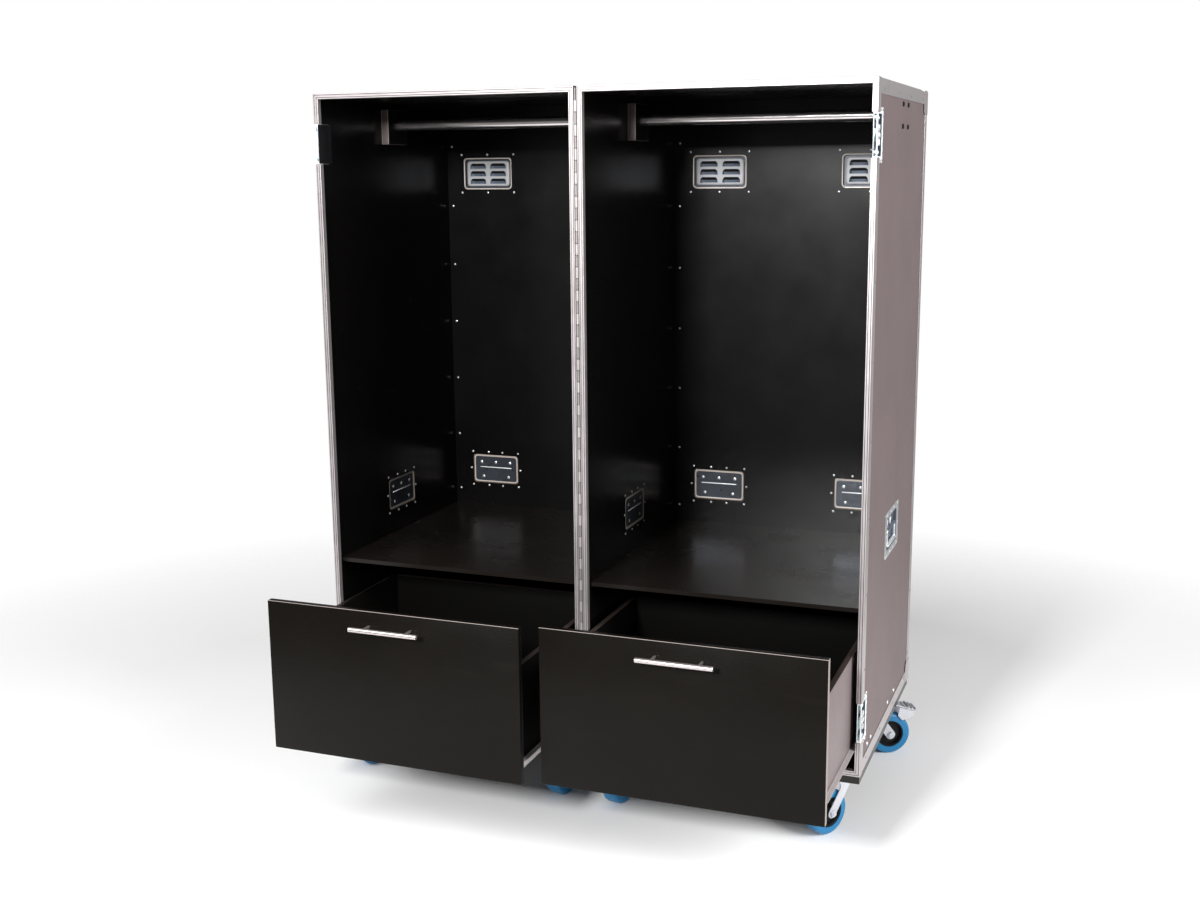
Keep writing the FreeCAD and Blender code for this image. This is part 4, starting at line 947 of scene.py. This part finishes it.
def vent(piece):
    """A dished plate with six louvres, cut out of strips round their holes."""
    piece.pressing([
        (108, 54, 4, -6.0, VENT), (113.6, 59.6, 6, -5.8, VENT), (117.6, 62.6, 7.6, -4.4, VENT),
        (118.8, 63.8, 8, -2.0, VENT), (119.0, 64.0, 8, 0.0, DARK_ZINC_AND_SHADE), (160.6, 105.6, 8, 0.0, ZINC),
        (161.0, 106.0, 8, 0.4, ZINC), (160.6, 105.6, 8, 1.0, ZINC), (159.8, 104.8, 7.6, 1.2, ZINC),
        (120.0, 65.0, 8.4, 1.2, ZINC), (117.8, 62.8, 7.6, 0.4, ZINC), (112.4, 58.4, 5.6, -4.6, ZINC),
        (108, 54, 4, -4.9, ZINC)], closed=True)
    piece.tone = VENT
    xs = [-54.5, -50, -6, 6, 50, 54.5]
    zs = [-27.5, -25.6, -12.4, -6.6, 6.6, 12.4, 25.6, 27.5]
    for i, j in itertools.product(range(len(xs) - 1), range(len(zs) - 1)):
        if not (i in (1, 3) and j in (1, 3, 5)):
            piece.block((xs[i], -5.9, zs[j]), (xs[i + 1], -4.9, zs[j + 1]), 0)
    for x, z in itertools.product((-28, 28), (-19, 0, 19)):
        hood(piece, x, z)
    window_edge(piece, 134, 79)


def hood(piece, x, z):
    """A pressed louvre: an arched hood over its hole, open below, with the hole's corners filled."""
    half, tall, rise, rows, points = 22.0, 13.2, 4.4, 7, 13
    top = z + tall / 2
    for end in (-1, 1):
        corner = ((0, 0), (6.5, 0), (3.4, 1.4), (1.2, 4.4), (0, 8.4))
        fill = [(x + end * (half - inwards), top - down) for inwards, down in corner]
        piece.slab(fill, -5.9, -4.9, 0.1)
    loops = []
    for step in range(rows):
        part = step / (rows - 1)
        lift = rise * math.sin(part * math.pi / 2)
        loop = []
        for way in range(points):
            across = way / (points - 1) * 2 - 1
            arch = (1 - abs(across) ** 6) ** 0.5
            loop.append((x + across * half, -5.0 + lift * arch, top - tall * part))
        loops.append(loop + [(px, py - 0.5, pz) for px, py, pz in reversed(loop)])
    for number, face in enumerate(piece.loft(loops)):
        row, at = divmod(number, 2 * points)
        inside = points <= at < 2 * points - 1
        # Inside the hood, the black upper rows are painted shade and the slate lower rows a painted
        # bluish reflection.
        face.material_index = (BLACK_AND_SHADE if row < 3 else SLATE_AND_REFLECTION) if inside else ZINC


def catch_shell(piece):
    """A latch dish: a rounded rim towards the front, two pressed lobes each with a small white pad as a
    painted highlight, and a scalloped flange.
    """
    piece.tone = BLACK_AND_SHADE
    piece.block((-52, -8.5, -42), (0, -7.9, 42), 0.2)
    piece.tone = SLATE_AND_REFLECTION
    piece.block((-52, -7.9, -42), (0, -7.3, 42), 0.2)
    piece.block((-52, -8.5, -42), (-50.8, 1.2, 42), 0.4)
    piece.tone = WHITE_AND_HIGHLIGHT
    for low, high in ((-42, -40.4), (40.4, 42)):
        piece.block((-52, -8.5, low), (0, 1.2, high), 0.4)
    mouth = [(px - 26.2, 0.0, pz) for px, pz in rounded_rectangle(50, 82, 6, 4)]
    piece.tube(mouth, 1.3, closed=True, segments=10)
    rim = [(-1.5, depth - 3.65, z) for depth, z in rounded_rectangle(7.4, 81.6, 3.4, 4)]
    piece.tube(rim, 1.15, closed=True, normal=(1, 0, 0), segments=10)
    for end in (-1, 1):
        # The small white pad on each lobe is a painted highlight.
        for tone, shape, low, high, soft in ((BLUED, (29, 13, 5.5, 4), -7.5, -1.2, 1.6),
                                             (WHITE_AND_HIGHLIGHT, (19, 4.6, 2.2, 3), -3.0, -0.4, 0.6)):
            piece.tone = tone
            lobe = [(px - 17.5, end * (32.2 + pz)) for px, pz in rounded_rectangle(*shape)]
            piece.slab(lobe, low, high, soft)
    upper = [(-51.5, 41.5), (-28, 41.5), (-28, 52), (-34, 52), (-38, 49.4), (-43, 49.4), (-47, 52),
             (-54, 52), (-57, 50.8), (-58, 47), (-58, 26), (-55.4, 21), (-55.4, 9), (-58, 4)]
    piece.slab(upper + [(x, -z) for x, z in reversed(upper)], 0.0, 1.2, 0.2)


def wing_outline():
    """Two rounded lobes joined at a waist."""
    right = [(4.6, 7.0), (7.5, 13.0), (7.5, 17.0), (5.6, 19.4), (2.6, 20.0)]
    half = right + [(-x, z) for x, z in reversed(right)]
    return half + [(-x, -z) for x, z in half]


def catches():
    """The turning wings of the two latches, and their hooks."""
    for name, at in CATCHES.items():
        piece = Piece()
        piece.place = at @ Matrix.Translation((-26, 0, 0))
        piece.slab(wing_outline(), -2.2, 0.8, 0.5)
        piece.lathe([(9.6, -2.2), (10.0, -1.8), (10.0, 0.3), (9.4, 0.8), (5.0, 0.8), (4.6, 0.4),
                     (0.5, 0.4)], axis="y", segments=28)
        piece.lathe([(3.5, -8.2), (3.5, -2.0)], axis="y", segments=20)
        piece.done(f"latch_butterfly_{name}", f"latch_wing_{name}", "zinc_steel", "bright",
                   replaced=(f"latch_wing_{name}",))
        softened(f"latch_hook_{name}", f"latch_hook_{name}", "zinc_steel", "blued", width=0.3)


def recessed(side):
    """Everything pressed into the walls of one half, and the bails."""
    piece = Piece()
    for at in HANDLES.values():
        piece.place = at
        handle_dish(piece)
    for at in VENTS:
        piece.place = at
        vent(piece)
    for at in CATCHES.values():
        piece.place = at
        catch_shell(piece)
        if side == "left":
            piece.block((-9, -7.3, -12), (-5, -5.3, 12), 0.4)
    piece.done(f"pressed_fittings_{side}", f"{side}_case", "zinc_sheet", "zinc", "white_zinc_and_highlight", "plate",
               "blued", "cut_edge_and_highlight", "black", "slate", "vent_zinc", side=side,
               replaced=(f"dishes_{side}",))
    for name in HANDLES:
        bail(name, side)


# ---- drawers

def front_tone(at, normal):
    """Film all over, also on the top and inner cut edges as painted shade; bare ply on the outer end,
    and pale ply along the upper arris as a painted highlight.
    """
    # The arris's pale ply is a painted highlight; film on the top and inner edges is painted shade.
    return int(abs(normal.x) > 0.7 and abs(at.x) > FRONT_END or normal.z > 0.3 and normal.y < -0.3)


def box_tone(at, normal):
    """A light tone on the outer side as painted sheen, dark painted shade on the tops of the sides, dark
    film elsewhere.
    """
    return 1 if abs(at.x) > DRAWER_SIDE else 2 if normal.z > 0.9 and at.z > DRAWER_SIDE_TOP else 0


def drawers(side):
    """A drawer with its runners and bar handle."""
    body = f"{side}_drawer"
    softened(f"drawer_front_{side}", body, "drawer_front_ply", "front", "pale_edge_and_highlight",
             width=size_of("edge_softness"), tone=front_tone)
    softened(f"drawer_box_{side}", body, "birch_ply", "box", "box_outside_sheen", "shaded_top_edge", width=0.5,
             tone=box_tone)
    softened(f"drawer_runners_{side}", body, "runner_steel", "cream", width=0.2)
    softened(f"case_runners_{side}", f"{side}_case", "runner_steel", "cream", width=0.2)
    y = FRONT - OUT[side] - BAR_DEPTH
    piece = Piece()
    radius, post, round_end = size_of("bar_radius"), size_of("post_radius"), 0.5
    start, end = BAR_ENDS
    piece.lathe([(radius - round_end, start), (radius, start + round_end), (radius, end - round_end),
                 (radius - round_end, end)], axis="x", at=(0, y, BAR_Z), segments=32)
    for x in BAR_POSTS:
        piece.lathe([(post, 0.0), (post, BAR_DEPTH)], axis="y", at=(x, y, BAR_Z), segments=24)
    piece.done(f"bar_handle_{side}", body, "stainless", "stainless", side=side,
               replaced=(f"drawer_handle_{side}",))


# ---- castors

def trail_turn(end, across, side):
    """The way a castor points, in degrees."""
    if across == "inner":
        return -100.0
    if end == "front":
        return -121.0
    return 28.0 if side == "right" else 152.0


def castors(side):
    """The four castors of one half; their swivel frames have the plate's centre on the ground."""
    softened(f"castor_plates_{side}", f"{side}_case", "castor_zinc", "castor", width=0.5)
    for end, across in itertools.product(CASTORS, ACROSS):
        key = f"{end}_{across}_{side}"
        swivel = turned(SIDES[side] * ACROSS[across], CASTORS[end], 0, trail_turn(end, across, side))
        wheel(key, swivel @ Matrix.Translation((TRAIL, 0, WHEEL)))
        fork(key, swivel, end == "rear")
        if end == "rear":
            tread(key, swivel)


def fork(key, at, braked):
    """A crown under the swivel race, two slanted legs, and the axle with its nuts."""
    piece = Piece()
    piece.place = at
    piece.lathe([(6.3, 133.7), (28.0, 133.7), (29.0, 134.6), (29.0, 136.4), (28.0, 137.7),
                 (6.3, 137.7)], segments=44, ring=True)
    for y in (-24.0, 12.0):
        piece.block((-25, y, 133.8), (25, y + 12, 137.6), 0.6)
    eye = [(TRAIL + 11.5 * math.cos(turn), WHEEL + 11.5 * math.sin(turn))
           for turn in map(math.radians, range(-142, 39, 18))]
    leg = [(-25, 137.6), (-25, 122), (-21.5, 112), (-12, 99), *eye, (20.0, 92.6), (15.8, 99.2),
           (14.2, 104.0), (14.6, 108.6), (18.0, 113.0), (25, 118.0), (25, 137.6)]
    for y in (-24.0, 21.0):
        piece.slab(leg, y, y + 3, 0.7)
    axle = (TRAIL, 0, WHEEL)
    piece.lathe([(4.6, -30.0), (4.6, 30.0)], axis="y", at=axle, segments=20)
    for way in (-1, 1):
        piece.lathe([(6.0, way * 24.0), (8.0, way * 24.0), (8.0, way * 28.4), (7.2, way * 29.2),
                     (4.7, way * 29.2)], axis="y", at=axle, segments=6)
    if braked:
        arm = [(19.0, 131.9), (104.0, 102.0), (104.0, 105.0), (22.0, 133.8), (19.0, 133.8)]
        piece.slab(arm, -17, 17, 0.4)
    piece.done(f"fork_{key}_pressed", f"fork_{key}", "castor_zinc", "castor",
               replaced=(f"castor_fork_{key}",))


def tread(key, at):
    """The pedal's foot plate with three ribs across it, and the cheeks that carry it."""
    tip, root = Vector((104.0, 0, 105.0)), Vector((19.0, 0, 135.7))
    fall = math.atan2(root.z - tip.z, tip.x - root.x)
    piece = Piece()
    piece.place = at @ Matrix.Translation(tip) @ Matrix.Rotation(fall, 4, "Y")
    plate = [(px - 17.8, py) for px, py in rounded_rectangle(34, 44, 8)]
    piece.slab(plate, 0.05, 1.8, 0.5, axis="z")
    for x in (-5, -14, -23):
        rib = [(px + x, py) for px, py in rounded_rectangle(4.0, 40, 1.9, 3)]
        piece.slab(rib, 1.5, 5.6, 1.0, axis="z")
    piece.place = at
    cheek = [(60, 116), (98, 103), (95, 94), (82, 86), (66, 84), (56, 96)]
    for y in (-20.8, 18.6):
        piece.slab(cheek, y, y + 2.2, 0.5)
    piece.done(f"pedal_tread_{key}", f"fork_{key}", "castor_zinc", "castor")


def mirrored(profile):
    """A profile with its mirror image before it."""
    return [(radius, -height) for radius, height in reversed(profile)] + profile


def wheel(key, axle):
    """A tyre with rounded shoulders on a dark hub."""
    piece = Piece()
    piece.place = axle
    tyre = [(WHEEL, 11.0), (49.5, 13.6), (48.0, 16.0), (45.6, 17.4), (43.0, 18.0), (33.0, 18.0)]
    piece.lathe(mirrored(tyre), axis="y", segments=64, ring=True)
    piece.tone = 1
    face = [(32.9, 16.8), (30.0, 16.8), (28.4, 15.0), (27.0, 8.0), (16.0, 8.0), (14.0, 10.0),
            (13.0, 17.6), (12.4, 18.0), (5.1, 18.0)]
    piece.lathe(mirrored(face), axis="y", segments=64)
    piece.done(f"wheel_{key}_turned", f"wheel_{key}", "blue_tyre", "tyre", "black",
               replaced=(f"castor_wheel_{key}",))


# ---- fasteners

X, Y, Z = Vector((1, 0, 0)), Vector((0, 1, 0)), Vector((0, 0, 1))
# The upright rows of rivets in the back, and their levels over the case's floor inside.
BACK_RIVET_XS = (HINGE + 23.5, OUTER - 23.5)
BACK_LEVELS = (1293, 1143, 993, 844, 694, 543, 395)
# Rivets on a catch's flange and on the back of a handle dish, as x and z from the fitting.
FLANGE_RIVETS = ((-33, 47), (-50, 47), (-54.8, 34), (-54.8, 0), (-54.8, -34), (-33, -47), (-50, -47))
STRAP_RIVETS = ((-41, 18), (0, 18), (41, 18), (-36, -21), (36, -21))
# The runner's screws come through the outer wall at these depths, the rail block's in a square.
RUNNER_DEPTHS, RUNNER_LEVEL = (260, 178, -32, -72), 208.0
BLOCK_DEPTHS, BLOCK_LEVELS = (294, 359), (1315, 1360)


def edge_spots(pitch):
    """Rivets along the edge angles: point, facing and upward directions."""
    spots = []
    for z in spaced(LOW + 70, TOP - 70, pitch):
        spots.append(((OUTER, REAR - 20, z), X, Z))
        spots += [((x, REAR, z), Y, Z) for x in BACK_RIVET_XS]
        if min(abs(z - level) for level in LATCHES.values()) > LATCH_GAP + 5:
            spots.append(((OUTER, FRONT + 19, z), X, Z))
    for y in spaced(FRONT + 60, REAR - 70, pitch):
        spots += [((OUTER, y, z), X, Z) for z in (LOW + 20, TOP - 20)]
        spots += [((x, y, TOP), Z, Y) for x in (OUTER - 20, HINGE + 20)]
    for x in spaced(HINGE + 70, OUTER - 70, pitch):
        spots += [((x, REAR, z), Y, Z) for z in (TOP - 20, LOW + 20)]
        spots += [((x, y, TOP), Z, Y) for y in (REAR - 20, FRONT + 19)]
    return spots


def fasteners(side):
    """Rivets of the edging and fittings, screws of the runners and rail blocks."""
    inner = [((x, BACK_WALL, LOW + level), -Y, Z) for level in BACK_LEVELS for x in BACK_RIVET_XS]
    outer = []
    dishes = [(at, DISH_RIVETS) for at in HANDLES.values()]
    for at, spots in dishes + [(at, VENT_RIVETS) for at in VENTS]:
        out = at.to_3x3() @ Y
        for x, z in spots:
            inner.append((at @ Vector((x, -PLY, z)), -out, Z))
            outer.append((at @ Vector((x, 1.2, z)), out, Z))
    flange = [(at @ Vector((x, 1.2, z)), X, Z) for at in CATCHES.values() for x, z in FLANGE_RIVETS]
    dish = [(at @ Vector((x, -7.9, z)), at.to_3x3() @ -Y, Z) for at in HANDLES.values()
            for x, z in STRAP_RIVETS]
    runner = [((OUTER_FACE, y, RUNNER_LEVEL), X, Z) for y in RUNNER_DEPTHS]
    block = [((OUTER_FACE, FRONT + y, LOW + z), X, Z) for y in BLOCK_DEPTHS for z in BLOCK_LEVELS]
    edge = edge_spots(size_of("rivet_pitch"))
    for name, head, size, height, spots, finish, seed in (
            ("edge_rivets", dome, "edge_rivet", 0.9, edge, "rivet", 2),
            ("inner_rivets", dome, "inner_rivet", 1.2, inner, "bright", 3),
            ("fitting_rivets", dome, "fitting_rivet", 0.9, outer, "bright", 4),
            ("latch_rivets", dome, "fitting_rivet", 1.2, flange, "rivet", 8),
            ("dish_rivets", dome, "dish_rivet", 1.2, dish, "bright", 5),
            ("runner_screws", screw, "runner_screw", 2.2, runner, "bright", 6),
            ("block_screws", screw, "block_screw", 3.0, block, "black", 7)):
        repeated(f"{name}_{side}", head(size_of(size), height), spots, f"{side}_case",
                 finish, side=side, seed=seed)


# ---- stage

def floor_and_light():
    """A pale floor that fades out, three soft lamps, and an even sky, white to the camera."""
    mesh = bpy.data.meshes.new("Floor")
    reach = 4.0
    mesh.from_pydata([(-reach, -reach, 0), (reach, -reach, 0), (reach, reach, 0), (-reach, reach, 0)],
                     [], [(0, 1, 2, 3)])
    floor = place_object("Floor", mesh)
    finish = Finish("FloorPaper", (0.9, 0.9, 0.9), 0.8)
    x, y = finish.axes()[:2]
    away = (x * x + y * y).math("SQRT")
    finish.set("Alpha", 1.0 - away.between(studio().floor_start, studio().floor_end))
    finish.set("Base Color", finish.mix(finish.noise(3.0), (0.9, 0.9, 0.9), (0.93, 0.93, 0.93)))
    mesh.materials.append(finish.material)
    for name, place, aim, size, watts in (
            ("KeyLamp", (-3.2, -4.0, 4.4), (0.0, 0.0, 0.8), 3.0, studio().key),
            ("SideLamp", (4.5, -1.0, 2.6), (0.4, 0.0, 0.8), 2.6, studio().side),
            ("FrontLamp", (-0.3, -4.4, 2.45), (0.0, 0.4, 1.1), 0.6, studio().front)):
        data = bpy.data.lights.new(name, "AREA")
        data.size = size
        data.energy = watts
        lamp = place_object(name, data)
        lamp.location = place
        lamp.rotation_euler = (Vector(aim) - Vector(place)).to_track_quat("-Z", "Y").to_euler()
    world = bpy.data.worlds.new("Studio")
    bpy.context.scene.world = world
    world.use_nodes = True
    tree = world.node_tree
    tree.nodes.clear()
    output = tree.nodes.new("ShaderNodeOutputWorld")
    path = tree.nodes.new("ShaderNodeLightPath")
    blend = tree.nodes.new("ShaderNodeMixShader")
    tree.links.new(path.outputs["Is Camera Ray"], blend.inputs[0])
    for entry, strength in ((1, studio().sky), (2, 1.0)):
        shown = tree.nodes.new("ShaderNodeBackground")
        shown.inputs["Color"].default_value = (1, 1, 1, 1)
        shown.inputs["Strength"].default_value = strength
        tree.links.new(shown.outputs[0], blend.inputs[entry])
    tree.links.new(blend.outputs[0], output.inputs["Surface"])
    bpy.context.scene.view_settings.view_transform = "Standard"


def camera():
    """The camera, a little above the middle of the trunk and to its right."""
    yaw, pitch, roll = 0.3649, -0.1955, -0.0094
    level = math.cos(pitch)
    ahead = Vector((-math.sin(yaw) * level, math.cos(yaw) * level, math.sin(pitch)))
    right = Vector((math.cos(yaw), math.sin(yaw), 0))
    up = right.cross(ahead)
    across = math.cos(roll) * right + math.sin(roll) * up
    upward = -math.sin(roll) * right + math.cos(roll) * up
    data = bpy.data.cameras.new("PhotoCamera")
    data.sensor_width = 36.0
    data.lens = 42.787
    view = place_object("PhotoCamera", data)
    turn = Matrix((across, upward, -ahead)).transposed().to_4x4()
    view.matrix_world = Matrix.Translation((1.1001, -2.9063, 1.4012)) @ turn
    bpy.context.scene.camera = view


# ---- operators and panel

def both_halves(*builders):
    """Runs the builders for each half in turn."""
    for side in SIDES:
        for builder in builders:
            builder(side)
    return {"FINISHED"}


class TRUNK_OT_finishes(bpy.types.Operator):
    """Make the finishes and give them to the frame's pieces"""
    bl_idname = "trunk.finishes"
    bl_label = "Finishes"

    def execute(self, context):
        make_materials()
        paint_nodes()
        return {"FINISHED"}


class TRUNK_OT_edging(bpy.types.Operator):
    """Build the closing profiles, edge angles and corner caps"""
    bl_idname = "trunk.edging"
    bl_label = "Edging"

    def execute(self, context):
        return both_halves(closing_frame, edge_angles)


class TRUNK_OT_hinge(bpy.types.Operator):
    """Build the piano hinge between the halves"""
    bl_idname = "trunk.hinge"
    bl_label = "Piano hinge"

    def execute(self, context):
        return both_halves(hinge)


class TRUNK_OT_rails(bpy.types.Operator):
    """Build the clothes rails and their blocks"""
    bl_idname = "trunk.rails"
    bl_label = "Clothes rails"

    def execute(self, context):
        return both_halves(clothes_rail)


class TRUNK_OT_fittings(bpy.types.Operator):
    """Build the recessed handles, vents and latch dishes"""
    bl_idname = "trunk.fittings"
    bl_label = "Recessed fittings"

    def execute(self, context):
        return both_halves(recessed)


class TRUNK_OT_catches(bpy.types.Operator):
    """Build the turning wings and sliding hooks of the latches"""
    bl_idname = "trunk.catches"
    bl_label = "Latches"

    def execute(self, context):
        catches()
        return {"FINISHED"}


class TRUNK_OT_drawers(bpy.types.Operator):
    """Build the drawers with their bar handles and runners"""
    bl_idname = "trunk.drawers"
    bl_label = "Drawers"

    def execute(self, context):
        return both_halves(drawers)


class TRUNK_OT_castors(bpy.types.Operator):
    """Build the castors, wheels and brake pedals"""
    bl_idname = "trunk.castors"
    bl_label = "Castors"

    def execute(self, context):
        return both_halves(castors)


class TRUNK_OT_fasteners(bpy.types.Operator):
    """Set the rivets and screws"""
    bl_idname = "trunk.fasteners"
    bl_label = "Rivets and screws"

    def execute(self, context):
        return both_halves(fasteners)


class TRUNK_OT_stage(bpy.types.Operator):
    """Set up the floor, lamps, background and camera"""
    bl_idname = "trunk.stage"
    bl_label = "Stage"

    def execute(self, context):
        floor_and_light()
        camera()
        return {"FINISHED"}


OPERATORS = (TRUNK_OT_finishes, TRUNK_OT_edging, TRUNK_OT_hinge, TRUNK_OT_rails, TRUNK_OT_fittings,
             TRUNK_OT_catches, TRUNK_OT_drawers, TRUNK_OT_castors, TRUNK_OT_fasteners, TRUNK_OT_stage)
SETTINGS = {"trunk_sizes": TrunkSizes, "trunk_colours": TrunkColours, "trunk_studio": TrunkStudio}


class TRUNK_PT_parts(bpy.types.Panel):
    """Lists the trunk's pieces and what can be changed"""
    bl_idname = "TRUNK_PT_parts"
    bl_label = "Wardrobe trunk"
    bl_space_type = "VIEW_3D"
    bl_region_type = "UI"
    bl_category = "Trunk"

    def draw(self, context):
        for operator in OPERATORS:
            self.layout.operator(operator.bl_idname)
        for name, kind in SETTINGS.items():
            box = self.layout.box()
            for entry in kind.__annotations__:
                box.prop(getattr(context.scene, name), entry)


CLASSES = (*SETTINGS.values(), *OPERATORS, TRUNK_PT_parts)


def register():
    for kind in CLASSES:
        bpy.utils.register_class(kind)
    for name, kind in SETTINGS.items():
        setattr(bpy.types.Scene, name, bpy.props.PointerProperty(type=kind))


def unregister():
    for name in SETTINGS:
        delattr(bpy.types.Scene, name)
    for kind in reversed(CLASSES):
        bpy.utils.unregister_class(kind)


def main():
    """Builds the trunk and its stage."""
    register()
    for operator in OPERATORS:
        module, name = operator.bl_idname.split(".")
        getattr(getattr(bpy.ops, module), name)()


if __name__ == "__main__":
    main()
